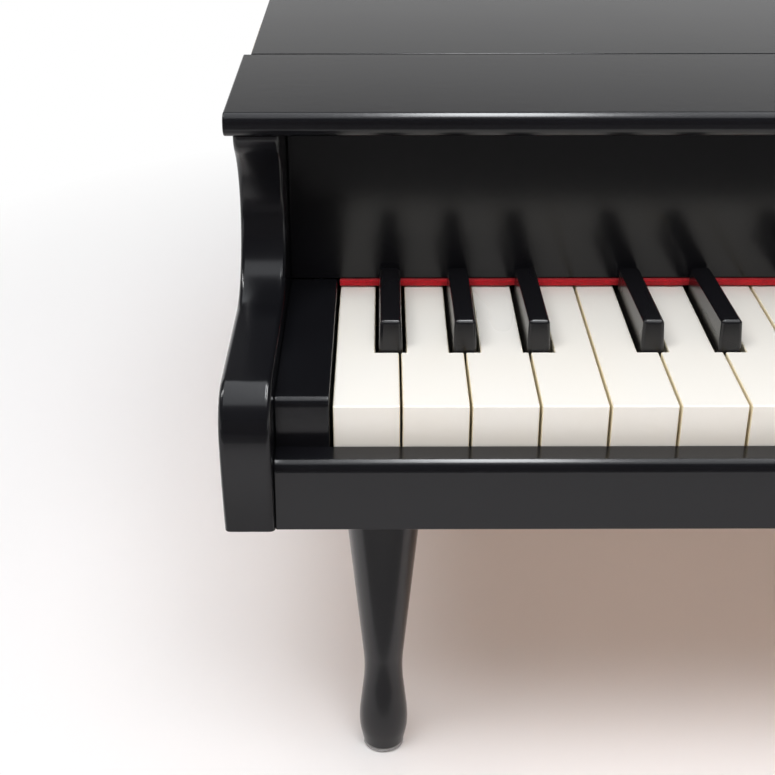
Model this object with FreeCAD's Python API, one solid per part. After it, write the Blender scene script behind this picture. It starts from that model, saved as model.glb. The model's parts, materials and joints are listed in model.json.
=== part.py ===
import FreeCAD
import Part
import math
import os

# Toy grand piano with a keyboard from F to C. Every key rocks on one steel rod and throws a small
# hammer up at an aluminium tube. Millimetres. X runs to the treble side, Y to the tail, Z up.
# The origin is on the floor, under the middle of the closed piano.

V = FreeCAD.Vector

# Keyboard
KEY_COUNT = 32             # F to C, two octaves and a fifth
FIRST_SEMITONE = 5         # the lowest key is an F, counted from C
KEY_PITCH = 19.0           # from one white key to the next
KEY_GAP = 0.7              # between neighbouring white keys
KEY_HEIGHT = 15.0          # top of a white key to its underside
KEY_DIP = 7.5              # travel of the front edge
KEY_WALL = 2.0             # wall left around the pockets underneath
WHITE_HEAD = 33.8          # full-width front part of a white key
WHITE_VISIBLE = 81.8       # front edge to the red felt
SHARP_WIDTH = 7.2          # black key at its foot
SHARP_TOP_WIDTH = 6.1
SHARP_CLEARANCE = 1.0      # between a black key and the white keys beside it
SHARP_FRONT_GAP = 0.6      # between the notch and the black key's front face
SHARP_SLANT = 1.6          # lean of the front face
SHARP_RISE_FRONT = 9.1     # above the white keys
SHARP_RISE_REAR = 7.3
SHARP_EDGE = 0.8           # bevel of the upper edges
SHARP_REAR_GAP = 0.9       # black cap to the felt
LEVER_STEP = 2.5           # how much lower the lever lies behind the fallboard
LEVER_DEPTH = 8.5          # height of the lever at its tail
PIVOT_REACH = 112.0        # key front to the rod
PIVOT_DROP = 10.5          # rod below the white key tops
PIVOT_ROD = 1.75           # radius of the rod
ROD_CLEARANCE = 0.06       # around the rod in each key
ROD_SEAT = 0.02            # around the rod in the teeth that hold it
ROD_NECK = 0.8             # mouth of a clip, as a share of its width
HUB_WIDTH = 4.6            # tongue of each key that holds the rod
HUB_HALF_LENGTH = 8.0
LEVER_TAIL = 102.0         # rod to the end of the lever
STRIKE_REACH = 112.0       # rod to the point that meets the tube

# Case
BLOCK_WIDTH = 15.0         # key block at each end of the keyboard
END_GAP = 0.95             # last key to the block
BLOCK_RISE = 2.6           # block above the key tops
BLOCK_RADIUS = 2.4
SIDE_THICKNESS = 13.9      # side panels, seen from the front as the arms
CASE_LENGTH = 447.5        # front of the arms to the tail
CASE_HEIGHT = 90.5         # without the lid
LEG_HEIGHT = 107.5         # floor to the case
KEY_LEVEL = 32.8           # key tops above the underside of the case
BOARD_THICKNESS = 9.0      # bottom board
RIM_THICKNESS = 10.0       # bent rim
ARM_REACH = 14.1           # arm front ahead of the keys
ARM_RISE = 9.2             # flat top of the arm above the keys
ARM_RADIUS = 12.9          # rounding at the top of the arm front
ARM_TUCK = 2.6             # how far the arm front draws back at the bottom
ARM_EDGE = 1.1             # bevel along the arm's long edges
COVE_RADIUS = 24.0         # hollow curve from the arm up to the top
COVE_START = 45.0          # key front to the start of the curve
COVE_SWEEP = 50.0          # degrees the curve runs on past upright
SLIP_DROP = 11.7           # top of the key slip below the keys
SLIP_THICKNESS = 9.7
SLIP_KEY_GAP = 1.0         # slip to the key fronts
SLIP_RADIUS = 3.0
FALLBOARD_THICKNESS = 9.0
FELT_HEIGHT = 2.2
FELT_LIFT = 0.4            # red felt above the white keys
FELT_PROUD = 1.5           # felt ahead of the fallboard
FELT_GLUED = 6.3           # felt glued to the fallboard's lower edge
FELT_END = 0.5             # end of the felt to the key block
GLUE_GAP = 0.15            # curved pieces that are glued edge to edge

# Bend of the treble side, seen from above
BEND_RADIUS = 85.0
BEND_ANGLE = 60.0          # less where a short case leaves the curves no room
BEND_CLEARANCE = 2.0       # rail under the key tails to the bend, at least
WAIST_RADIUS = 140.0
WAIST_LEAN = 12.0          # degrees between the waist's end and straight back
TAIL_RADIUS = 65.0
CORNER_RADIUS = 40.0

# Top
LID_THICKNESS = 7.0
LID_OVERHANG = 2.5
LID_EDGE = 1.6             # bevel of the upper edges
TOP_OVERHANG = 2.0         # front board ahead of the arm's curve
TOP_BOARD_DEPTH = 71.0
TOP_GAP = 0.8              # front board to lid
LID_ANGLE = 24.0           # degrees, fully raised

# Hinges of the lid
HINGE_LENGTH = 42.0
HINGE_RADIUS = 2.0
HINGE_PIN = 1.0
HINGE_LEAF = 0.9
HINGE_LEAF_WIDTH = 10.0
HINGE_GAP = 0.35           # around the moving knuckle
PIN_CLEARANCE = 0.05
HINGE_FROM_FRONT = 28.0    # lid front to the first hinge
HINGE_FROM_CORNER = 26.0245  # second hinge to the rear end of the spine

# Prop that holds the lid
PROP_RADIUS = 2.6
PROP_EYE = 4.0
PROP_EYE_WIDTH = 5.2
PROP_PIN = 1.5
PROP_INSET = 7.6           # treble side to the prop's pin
PROP_DROP = 6.0            # pin below the lid
PROP_LEAN = 85.0           # degrees, raised prop to the level
PROP_LANE = 12.0           # lid front to the prop
EAR_THICKNESS = 1.5
EAR_GAP = 0.4
BRACKET_PLATE = 0.9        # thickness of the plate under the lid
BRACKET_BACK = 7.0         # plate behind the pin
BRACKET_FRONT = 4.0        # plate ahead of the pin
BRACKET_FLANGE = 4.0       # plate beside the ears, for its screws
CLIP_PLACE = 0.72          # share of the stick from the pin to the clip
CLIP_LENGTH = 9.0
CLIP_WALL = 0.9
CLIP_DIP = 1.0             # clip walls below the middle of the stick
SEAT_DROP = 11.5           # seat below the rim top
SEAT_LIFT = 2.5            # tip above its seat while the lid is fully raised
SEAT_WIDTH = 16.0
SEAT_HEIGHT = 8.0
SEAT_BACK = 18.0           # seat under the front board
SEAT_FRONT = 5.0           # seat past the middle of the stick
SEAT_POST_GAP = 1.0        # post of the seat to the board's rear edge

# Legs
LEG_SPREAD = 166.5         # middle to each front leg
LEG_SETBACK = 27.0         # key front to the front legs
REAR_LEG_X = -52.0
REAR_LEG_FROM_TAIL = 60.0
LEG_TOP_RADIUS = 13.0
LEG_TAPER_RADIUS = 5.8     # ankle
LEG_TAPER_LENGTH = 76.0
FOOT_RADIUS = 8.2
FOOT_HEIGHT = 8.0
PAD_RADIUS = 6.6
PAD_HEIGHT = 2.0
STUB_RADIUS = 4.0          # threaded stub on the leg's head
SOCKET_RADIUS = 5.5
SOCKET_FLANGE = 10.0       # half the width of the square flange
SOCKET_FLANGE_HEIGHT = 1.5
THREAD_CLEARANCE = 0.08
LEG_SIDES = 20             # flats round a turned leg
SMALL_SIDES = 10           # flats on small round pieces

# Action
RAIL_LIFT = 1.2            # key hubs above the balance rail
RAIL_END = 6.0             # end of the rails to the side panels
TOOTH_WIDTH = 3.0
TOOTH_LENGTH = 8.0
TOOTH_COVER = 3.0          # tooth above the middle of the rod
GUIDE_BASE = 1.5
GUIDE_CLEARANCE = 0.45
GUIDE_LENGTH = 4.0
FELT_GAP = 0.3             # resting or stopped key to its felt
REST_FELT = 2.0
REST_RAIL_WIDTH = 10.0
HAMMER_WIDTH = 4.4
HAMMER_TOP = 13.7          # above the key tops, at rest
HAMMER_ARM = 1.5
HAMMER_FOOT = 22.0         # foot of the arm ahead of the lever's end
HAMMER_HEAD = 5.0          # half the length of the head
HAMMER_HEIGHT = 9.5        # height of the head
HAMMER_RISE = 6.0          # lever's end to where the arm lifts off it
HAMMER_HEEL = 8.0          # lever's end to the arm's upper bend

# Tone tubes
TUBE_RADIUS = 3.0
TUBE_WALL = 0.7
TUBE_SIDES = 8             # flats round a tube
BORE_SIDES = 6             # flats in its bore
TUBE_LONGEST = 222.0
TUBE_NODE = 0.2242         # share of the length from an end to a still point
TUBE_GAP = 0.8             # raised hammer to its tube
TUBE_SEAT_GAP = 0.2
TUBE_RAIL_WIDTH = 8.0
TUBE_RAIL_HEIGHT = 11.0
TUBE_FELT = 2.0
STRIP_WIDTH = 5.0
STRIP_HEIGHT = 1.2
STRIP_FOOT = 6.0           # length of the foot at each end of a strip

# Derived positions
WHITE_STEPS = {0, 2, 4, 5, 7, 9, 11}
NOTE_NAMES = ["c", "c_sharp", "d", "d_sharp", "e", "f", "f_sharp", "g", "g_sharp", "a", "a_sharp", "b"]
WHITE_COUNT = sum((FIRST_SEMITONE + i) % 12 in WHITE_STEPS for i in range(KEY_COUNT))
KEYS_HALF = WHITE_COUNT * KEY_PITCH / 2
BLOCK_INNER = KEYS_HALF - KEY_GAP / 2 + END_GAP
SIDE_INNER = BLOCK_INNER + BLOCK_WIDTH
CASE_HALF = SIDE_INNER + SIDE_THICKNESS
FRONT = -(CASE_LENGTH + LID_OVERHANG) / 2
TAIL = FRONT + CASE_LENGTH
KEY_FRONT = FRONT + ARM_REACH
UNDERSIDE = LEG_HEIGHT
BOARD_TOP = UNDERSIDE + BOARD_THICKNESS
KEY_TOP = UNDERSIDE + KEY_LEVEL
RIM_TOP = UNDERSIDE + CASE_HEIGHT
LID_TOP = RIM_TOP + LID_THICKNESS
SLIP_BACK = KEY_FRONT - SLIP_KEY_GAP
FALLBOARD_FRONT = KEY_FRONT + WHITE_VISIBLE + FELT_PROUD
FALLBOARD_BACK = FALLBOARD_FRONT + FALLBOARD_THICKNESS
FELT_BOTTOM = KEY_TOP + FELT_LIFT
FALLBOARD_BOTTOM = FELT_BOTTOM + FELT_HEIGHT
PIVOT_Y = KEY_FRONT + PIVOT_REACH
PIVOT_Z = KEY_TOP - PIVOT_DROP
STRIKE_Y = PIVOT_Y + STRIKE_REACH
LEVER_END = PIVOT_Y + LEVER_TAIL
KEY_BOTTOM = KEY_TOP - KEY_HEIGHT
LEVER_TOP = KEY_TOP - LEVER_STEP
LEVER_BOTTOM = LEVER_TOP - LEVER_DEPTH
KEY_ANGLE = math.asin(KEY_DIP / PIVOT_REACH)
TUBE_BOTTOM = KEY_TOP + HAMMER_TOP + STRIKE_REACH * math.sin(KEY_ANGLE) + TUBE_GAP
TUBE_Z = TUBE_BOTTOM + TUBE_RADIUS
TUBE_RAIL_TOP = TUBE_BOTTOM - TUBE_SEAT_GAP - TUBE_FELT
COVE_Y = KEY_FRONT + COVE_START
COVE_Z = KEY_TOP + ARM_RISE + COVE_RADIUS
WAIST_A = math.radians(WAIST_LEAN)
TAIL_RUN = TAIL_RADIUS - (WAIST_RADIUS + TAIL_RADIUS) * math.sin(WAIST_A)
BEND_RUN = (BEND_RADIUS + WAIST_RADIUS) * math.sin(math.radians(BEND_ANGLE)) + TAIL_RUN
RAIL_HALF = SIDE_INNER - RAIL_END
RAIL_PAST_BEND = RAIL_HALF + BEND_CLEARANCE - (CASE_HALF - BEND_RADIUS)
BEND_ROOM = math.sqrt((BEND_RADIUS - RIM_THICKNESS) ** 2 - RAIL_PAST_BEND ** 2)
BEND_START = max(TAIL - BEND_RUN, LEVER_END - BEND_ROOM)
BEND_A = math.asin((TAIL - BEND_START - TAIL_RUN) / (BEND_RADIUS + WAIST_RADIUS))
COVE_A = math.radians(COVE_SWEEP)
CROWN_Y = COVE_Y + COVE_RADIUS * math.cos(COVE_A)
CROWN_Z = COVE_Z + COVE_RADIUS * math.sin(COVE_A)
CROWN_RADIUS = (RIM_TOP - CROWN_Z) / math.sin(COVE_A)
NOSE_Y = CROWN_Y - CROWN_RADIUS * (1 - math.cos(COVE_A))
TOP_FRONT = NOSE_Y - TOP_OVERHANG
TOP_BACK = TOP_FRONT + TOP_BOARD_DEPTH
LID_FRONT = TOP_BACK + TOP_GAP
HINGE_X = -CASE_HALF - LID_OVERHANG + HINGE_RADIUS
PROP_Y = LID_FRONT + PROP_LANE
PROP_X = SIDE_INNER - PROP_INSET
PROP_REACH = PROP_X - HINGE_X
PROP_Z = RIM_TOP - PROP_DROP
LID_A = math.radians(LID_ANGLE)
LEAN_A = math.radians(PROP_LEAN)
RAISED_X = HINGE_X + PROP_REACH * math.cos(LID_A) + PROP_DROP * math.sin(LID_A)
RAISED_Z = RIM_TOP + PROP_REACH * math.sin(LID_A) - PROP_DROP * math.cos(LID_A)
SEAT_Z = RIM_TOP - SEAT_DROP
PROP_LENGTH = (RAISED_Z - SEAT_Z - SEAT_LIFT) / math.sin(LEAN_A)
SEAT_X = RAISED_X - PROP_LENGTH * math.cos(LEAN_A)
LEG_PLACES = [(-LEG_SPREAD, KEY_FRONT + LEG_SETBACK), (LEG_SPREAD, KEY_FRONT + LEG_SETBACK),
              (REAR_LEG_X, TAIL - REAR_LEG_FROM_TAIL)]


def box(x0, x1, y0, y1, z0, z1):
    """A box between two corners."""
    return Part.makeBox(x1 - x0, y1 - y0, z1 - z0, V(x0, y0, z0))


def rod_x(radius, x0, x1, y, z):
    """A round rod along X."""
    return Part.makeCylinder(radius, x1 - x0, V(x0, y, z), V(1, 0, 0))


def rod_y(radius, y0, y1, x, z):
    """A round rod along Y."""
    return Part.makeCylinder(radius, y1 - y0, V(x, y0, z), V(0, 1, 0))


def rod_z(radius, z0, z1, x, y):
    """An upright round rod."""
    return Part.makeCylinder(radius, z1 - z0, V(x, y, z0))


def flats(sides, radius):
    """Corners of an even outline with its flats at the radius, one of them facing down."""
    far = radius / math.cos(math.pi / sides)
    turns = [(2 * i + 1) * math.pi / sides - math.pi / 2 for i in range(sides)]
    return [(far * math.cos(t), far * math.sin(t)) for t in turns]


def flat_rod_y(sides, radius, y0, y1, x, z):
    """A rod with flat sides along Y."""
    corners = [V(x + a, y0, z + b) for a, b in flats(sides, radius)]
    return Part.Face(Part.makePolygon(corners + corners[:1])).extrude(V(0, y1 - y0, 0))


def flat_rod_z(sides, radius, z0, z1, x, y):
    """An upright rod with flat sides."""
    return plan_slab([(x + a, y + b) for a, b in flats(sides, radius)], z0, z1)


def turned(sides, profile, start, axis, across):
    """A turned piece with flat sides, from (radius, run) pairs along an axis."""
    other = axis.cross(across)
    turns = [2 * math.pi * (i + 0.5) / sides for i in range(sides)]
    rings = []
    for radius, run in profile:
        middle = start + axis * run
        spokes = [across * math.cos(t) + other * math.sin(t) for t in turns]
        rings.append([middle + spoke * radius for spoke in spokes])
    faces = [Part.Face(Part.makePolygon(ring + ring[:1])) for ring in (rings[0], rings[-1])]
    for a, b in zip(rings, rings[1:]):
        for i in range(sides):
            faces.append(Part.Face(Part.makePolygon([a[i - 1], a[i], b[i], b[i - 1], a[i - 1]])))
    solid = Part.makeSolid(Part.makeShell(faces))
    if solid.Volume < 0:
        solid.reverse()
    return solid


def side_slab(points, x0, x1):
    """A straight-sided profile of (y, z) points, made solid from x0 to x1."""
    corners = [V(x0, y, z) for y, z in points]
    face = Part.Face(Part.makePolygon(corners + corners[:1]))
    return face.extrude(V(x1 - x0, 0, 0))


def plan_slab(points, z0, z1):
    """A straight-sided outline of (x, y) points, made solid from z0 to z1."""
    corners = [V(x, y, z0) for x, y in points]
    face = Part.Face(Part.makePolygon(corners + corners[:1]))
    return face.extrude(V(0, 0, z1 - z0))


def line(a, b):
    """A straight edge."""
    return Part.makeLine(a, b)


def arc(a, middle, b):
    """An arc through three points."""
    return Part.Arc(a, middle, b).toShape()


def case_solid(inset, front, z0, z1):
    """The case seen from above, drawn in by inset, from a front line to the tail, as a solid."""
    half = CASE_HALF - inset
    bend = BEND_RADIUS - inset
    waist = WAIST_RADIUS + inset
    tail = TAIL_RADIUS - inset
    corner = CORNER_RADIUS - inset
    c1 = V(CASE_HALF - BEND_RADIUS, BEND_START, z0)
    c2 = c1 + V(math.cos(BEND_A), math.sin(BEND_A), 0) * (BEND_RADIUS + WAIST_RADIUS)
    c3 = c2 - V(math.cos(WAIST_A), math.sin(WAIST_A), 0) * (WAIST_RADIUS + TAIL_RADIUS)
    c4 = V(-CASE_HALF + CORNER_RADIUS, TAIL - CORNER_RADIUS, z0)

    def on(centre, radius, angle):
        return centre + V(math.cos(angle), math.sin(angle), 0) * radius

    half_turn = math.pi
    p0 = V(half, front, z0)
    p1 = V(half, BEND_START, z0)
    p2 = on(c1, bend, BEND_A)
    p3 = on(c2, waist, half_turn + WAIST_A)
    p4 = on(c3, tail, half_turn / 2)
    p5 = on(c4, corner, half_turn / 2)
    p6 = on(c4, corner, half_turn)
    p7 = V(-half, front, z0)
    edges = [line(p0, p1), arc(p1, on(c1, bend, BEND_A / 2), p2),
             arc(p2, on(c2, waist, half_turn + (BEND_A + WAIST_A) / 2), p3),
             arc(p3, on(c3, tail, (WAIST_A + half_turn / 2) / 2), p4), line(p4, p5),
             arc(p5, on(c4, corner, half_turn * 0.75), p6), line(p6, p7), line(p7, p0)]
    return Part.Face(Part.Wire(edges)).extrude(V(0, 0, z1 - z0))


def inside(clearance, z0, z1):
    """The clear room within the side panels and the bent rim, less a clearance at the rim."""
    room = case_solid(RIM_THICKNESS + clearance, SLIP_BACK, z0, z1)
    room = room.cut(box(SIDE_INNER, CASE_HALF, SLIP_BACK, BEND_START, z0, z1))
    return room.cut(box(-CASE_HALF, -SIDE_INNER, SLIP_BACK, TAIL - CORNER_RADIUS, z0, z1))


def round_edges(solid, radius, wanted):
    """Round the edges that the test picks out."""
    edges = [e for e in solid.Edges if wanted(e)]
    return solid.makeFillet(radius, edges)


def bevel_edges(solid, size, wanted):
    """Bevel the edges that the test picks out."""
    edges = [e for e in solid.Edges if wanted(e)]
    return solid.makeChamfer(size, edges)


# Case pieces

def side_panel(x0, x1, rear):
    """One side panel with the arm, its hollow curve and the crown under the top board."""
    def p(y, z):
        return V(x0, y, z)

    bulge_z = KEY_TOP + ARM_RISE - ARM_RADIUS
    lower = bulge_z - UNDERSIDE
    lower_radius = (lower ** 2 + ARM_TUCK ** 2) / (2 * ARM_TUCK)
    half_angle = math.asin(lower / lower_radius) / 2
    mid_y = FRONT + lower_radius * (1 - math.cos(half_angle))
    mid_z = bulge_z - lower_radius * math.sin(half_angle)
    top_y = FRONT + ARM_RADIUS
    top_z = KEY_TOP + ARM_RISE
    lean = math.radians(45)
    foot = p(FRONT + ARM_TUCK, UNDERSIDE)
    bulge = p(FRONT, bulge_z)
    shoulder = p(top_y, top_z)
    start = p(COVE_Y, COVE_Z - COVE_RADIUS)
    crown = p(CROWN_Y, CROWN_Z)
    nose = p(NOSE_Y, RIM_TOP)
    cove_mid = (COVE_A - math.pi / 2) / 2
    cove_at = p(COVE_Y + COVE_RADIUS * math.cos(cove_mid), COVE_Z + COVE_RADIUS * math.sin(cove_mid))
    crown_y = NOSE_Y + CROWN_RADIUS
    crown_at = p(crown_y - CROWN_RADIUS * math.cos(COVE_A / 2), RIM_TOP - CROWN_RADIUS * math.sin(COVE_A / 2))
    arm_at = p(top_y - ARM_RADIUS * math.cos(lean), bulge_z + ARM_RADIUS * math.sin(lean))
    back_top = p(rear, RIM_TOP)
    back_foot = p(rear, UNDERSIDE)
    wire = Part.Wire([arc(foot, p(mid_y, mid_z), bulge), arc(bulge, arm_at, shoulder), line(shoulder, start),
                      arc(start, cove_at, crown), arc(crown, crown_at, nose), line(nose, back_top),
                      line(back_top, back_foot), line(back_foot, foot)])
    panel = Part.Face(wire).extrude(V(x1 - x0, 0, 0))

    def long_edge(edge):
        b = edge.BoundBox
        ahead = b.YMax < CROWN_Y + COVE_RADIUS and b.XLength < 0.01
        return ahead and b.ZLength < RIM_TOP - KEY_TOP and b.ZMax > UNDERSIDE + 1

    return bevel_edges(panel, ARM_EDGE, long_edge)


def spine_side():
    """Straight side panel on the bass side, with its beds for the hinges."""
    panel = side_panel(-CASE_HALF, -SIDE_INNER, TAIL - CORNER_RADIUS)
    for y in hinge_places():
        panel = panel.cut(hinge_bed(y, RIM_TOP - HINGE_LEAF, RIM_TOP))
    return panel


def bent_rim():
    """The curved wall from the treble side round the tail to the spine."""
    outer = case_solid(0, FRONT, UNDERSIDE, RIM_TOP)
    ring = outer.cut(case_solid(RIM_THICKNESS, FRONT, UNDERSIDE, RIM_TOP))
    ring = ring.cut(box(0, CASE_HALF, FRONT, BEND_START, UNDERSIDE, RIM_TOP))
    return ring.cut(box(-CASE_HALF, 0, FRONT, TAIL - CORNER_RADIUS, UNDERSIDE, RIM_TOP))


def bottom_board():
    """Bottom board with the three leg sockets let in from above."""
    board = inside(GLUE_GAP, UNDERSIDE, BOARD_TOP)
    for x, y in LEG_PLACES:
        board = board.cut(socket_body(x, y))
    return board


def key_slip():
    """Rail across the front, below the keys."""
    front = SLIP_BACK - SLIP_THICKNESS
    top = KEY_TOP - SLIP_DROP
    slip = box(-SIDE_INNER, SIDE_INNER, front, SLIP_BACK, UNDERSIDE, top)

    def top_front(edge):
        b = edge.BoundBox
        return b.YMax < front + 0.01 and b.ZMin > top - 0.01

    return round_edges(slip, SLIP_RADIUS, top_front)


def key_block(x0, x1):
    """Block that closes one end of the keyboard."""
    top = KEY_TOP + BLOCK_RISE
    block = box(x0, x1, SLIP_BACK, FALLBOARD_FRONT, BOARD_TOP, top)

    def top_front(edge):
        b = edge.BoundBox
        return b.YMax < SLIP_BACK + 0.01 and b.ZMin > top - 0.01

    return round_edges(block, BLOCK_RADIUS, top_front)


def fallboard():
    """Upright board behind the keys, under the front top board."""
    return box(-SIDE_INNER, SIDE_INNER, FALLBOARD_FRONT, FALLBOARD_BACK, FALLBOARD_BOTTOM, RIM_TOP)


def nameboard_felt():
    """Felt strip under the fallboard, a little ahead of it."""
    half = BLOCK_INNER - FELT_END
    front = FALLBOARD_FRONT - FELT_PROUD
    back = FALLBOARD_FRONT + FELT_GLUED
    return box(-half, half, front, back, FELT_BOTTOM, FALLBOARD_BOTTOM)


def front_top_board():
    """Fixed board over the fallboard with a rounded front edge."""
    wide = CASE_HALF + LID_OVERHANG
    board = box(-wide, wide, TOP_FRONT, TOP_BACK, RIM_TOP, LID_TOP)

    def nose(edge):
        b = edge.BoundBox
        return b.YMax < TOP_FRONT + 0.01 and b.XLength > 1

    return round_edges(board, LID_THICKNESS * 0.45, nose)


def lid():
    """Lid that follows the case with a small overhang on the treble side and the tail."""
    whole = case_solid(-LID_OVERHANG, LID_FRONT, RIM_TOP, LID_TOP)
    top = whole.common(box(-CASE_HALF, CASE_HALF * 2, LID_FRONT, TAIL * 2, RIM_TOP, LID_TOP))

    def upper(edge):
        b = edge.BoundBox
        spine = b.XMax < -CASE_HALF + 0.01
        return b.ZMin > LID_TOP - 0.01 and b.YMax > LID_FRONT + 0.01 and not spine

    top = bevel_edges(top, LID_EDGE, upper)
    for y in hinge_places():
        top = top.cut(hinge_bed(y, RIM_TOP, RIM_TOP + HINGE_LEAF))
    return top


# Hinges

def hinge_places():
    """Where the two hinges begin along the spine."""
    first = LID_FRONT + HINGE_FROM_FRONT
    last = TAIL - CORNER_RADIUS - HINGE_FROM_CORNER - HINGE_LENGTH
    return [first, last]


def hinge_bed(y, z0, z1):
    """Room for one leaf and the round knuckle beside it."""
    y1 = y + HINGE_LENGTH
    leaf = box(HINGE_X, HINGE_X + HINGE_LEAF_WIDTH, y, y1, z0, z1)
    knuckle = flat_rod_y(SMALL_SIDES, HINGE_RADIUS + HINGE_GAP, y, y1, HINGE_X, RIM_TOP)
    return leaf.fuse(knuckle)


def hinge_leaf(y, z0, z1, spans, others):
    """One leaf with its knuckles, cut back around the other leaf's knuckles."""
    leaf = box(HINGE_X, HINGE_X + HINGE_LEAF_WIDTH, y, y + HINGE_LENGTH, z0, z1)
    for a, b in others:
        leaf = leaf.cut(flat_rod_y(SMALL_SIDES, HINGE_RADIUS + HINGE_GAP, a, b, HINGE_X, RIM_TOP))
    for a, b in spans:
        leaf = leaf.fuse(flat_rod_y(SMALL_SIDES, HINGE_RADIUS, a, b, HINGE_X, RIM_TOP))
    return leaf


def hinge_sets():
    """Case leaves, each with its riveted pin, and lid leaves that turn on the pins."""
    bore = HINGE_PIN + PIN_CLEARANCE
    third = HINGE_LENGTH / 3
    fixed = []
    moving = []
    for y in hinge_places():
        y1 = y + HINGE_LENGTH
        ends = [(y, y + third), (y + 2 * third, y1)]
        middle = [(y + third + HINGE_GAP, y + 2 * third - HINGE_GAP)]
        room = [(y + third, y + 2 * third)]
        wider = [(y, y + third + HINGE_GAP), (y + 2 * third - HINGE_GAP, y1)]
        case_leaf = hinge_leaf(y, RIM_TOP - HINGE_LEAF, RIM_TOP, ends, room)
        pin = rod_y(HINGE_PIN, y, y1, HINGE_X, RIM_TOP)
        fixed.append(case_leaf.fuse(pin).removeSplitter())
        lid_leaf = hinge_leaf(y, RIM_TOP, RIM_TOP + HINGE_LEAF, middle, wider)
        hole = flat_rod_y(SMALL_SIDES, bore, y, y1, HINGE_X, RIM_TOP)
        moving.append(lid_leaf.cut(hole).removeSplitter())
    return fixed, moving


# Prop

def lid_prop():
    """Stick that swings down from the lid, with an eye at one end and a blunt point at the other."""
    y0 = PROP_Y - PROP_EYE_WIDTH / 2
    y1 = PROP_Y + PROP_EYE_WIDTH / 2
    profile = [(PROP_RADIUS, 0), (PROP_RADIUS, PROP_LENGTH - PROP_RADIUS), (PROP_RADIUS / 2, PROP_LENGTH)]
    stick = turned(SMALL_SIDES, profile, V(PROP_X, PROP_Y, PROP_Z), V(-1, 0, 0), V(0, 1, 0))
    stick = stick.fuse(flat_rod_y(SMALL_SIDES, PROP_EYE, y0, y1, PROP_X, PROP_Z))
    bore = flat_rod_y(SMALL_SIDES, PROP_PIN + PIN_CLEARANCE, y0, y1, PROP_X, PROP_Z)
    return stick.cut(bore).removeSplitter()


def prop_bracket():
    """Forked bracket under the lid with its riveted pin, and the clip that holds the folded stick."""
    inner = PROP_EYE_WIDTH / 2 + EAR_GAP
    outer = inner + EAR_THICKNESS
    plate_z = RIM_TOP - BRACKET_PLATE
    wide = outer + BRACKET_FLANGE
    pieces = []
    fork = box(PROP_X - BRACKET_BACK, PROP_X + BRACKET_FRONT, PROP_Y - wide, PROP_Y + wide, plate_z, RIM_TOP)
    for y in (PROP_Y - outer, PROP_Y + inner):
        ear = box(PROP_X - PROP_EYE, PROP_X + PROP_EYE, y, y + EAR_THICKNESS, PROP_Z, RIM_TOP)
        fork = fork.fuse(ear).fuse(flat_rod_y(SMALL_SIDES, PROP_EYE, y, y + EAR_THICKNESS, PROP_X, PROP_Z))
    pin = rod_y(PROP_PIN, PROP_Y - outer, PROP_Y + outer, PROP_X, PROP_Z)
    pieces.append(fork.fuse(pin).removeSplitter())
    x0 = PROP_X - PROP_LENGTH * CLIP_PLACE
    x1 = x0 + CLIP_LENGTH
    gap = PROP_RADIUS + EAR_GAP
    wall = gap + CLIP_WALL
    low = PROP_Z - CLIP_DIP
    clip = box(x0, x1, PROP_Y - wall, PROP_Y + wall, low, RIM_TOP)
    pieces.append(clip.cut(box(x0, x1, PROP_Y - gap, PROP_Y + gap, low, plate_z)))
    return pieces


def prop_seat():
    """Shelf under the front board's rear edge, where the raised prop stands."""
    x0 = SEAT_X - PROP_RADIUS * 0.6
    x1 = x0 + SEAT_WIDTH
    back = TOP_BACK - SEAT_BACK
    shelf = box(x0, x1, back, PROP_Y + SEAT_FRONT, SEAT_Z - SEAT_HEIGHT, SEAT_Z)
    return shelf.fuse(box(x0, x1, back, TOP_BACK - SEAT_POST_GAP, SEAT_Z, RIM_TOP)).removeSplitter()


# Legs

def leg(x, y):
    """Turned leg with its threaded stub: a long taper to the ankle, a flare and a foot drawn in below."""
    ankle_z = UNDERSIDE - LEG_TAPER_LENGTH
    foot_z = PAD_HEIGHT + FOOT_HEIGHT
    profile = [(PAD_RADIUS, PAD_HEIGHT), (FOOT_RADIUS, foot_z), (LEG_TAPER_RADIUS, ankle_z),
               (LEG_TOP_RADIUS, UNDERSIDE)]
    post = turned(LEG_SIDES, profile, V(x, y, 0), V(0, 0, 1), V(1, 0, 0))
    stub = [(STUB_RADIUS, UNDERSIDE), (STUB_RADIUS, BOARD_TOP - SOCKET_FLANGE_HEIGHT)]
    return post.fuse(turned(SMALL_SIDES, stub, V(x, y, 0), V(0, 0, 1), V(1, 0, 0)))


def socket_body(x, y):
    """Barrel and square flange of a socket, without its bore."""
    z = BOARD_TOP - SOCKET_FLANGE_HEIGHT
    flange = box(x - SOCKET_FLANGE, x + SOCKET_FLANGE, y - SOCKET_FLANGE, y + SOCKET_FLANGE, z, BOARD_TOP)
    return flange.fuse(flat_rod_z(SMALL_SIDES, SOCKET_RADIUS, UNDERSIDE, z, x, y)).removeSplitter()


def leg_socket(x, y):
    """Threaded socket let into the bottom board, closed by nothing so that the stub can turn in."""
    bore = flat_rod_z(SMALL_SIDES, STUB_RADIUS + THREAD_CLEARANCE, UNDERSIDE, BOARD_TOP, x, y)
    return socket_body(x, y).cut(bore)


# Keys

class Key:
    """Where one key stands across the keyboard."""

    def __init__(self, number, name, white, head, shank):
        self.number = number
        self.name = name
        self.white = white
        self.head = head
        self.shank = shank
        self.centre = (shank[0] + shank[1]) / 2

    def node(self):
        return "key_%02d_%s" % (self.number, self.name)


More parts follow.
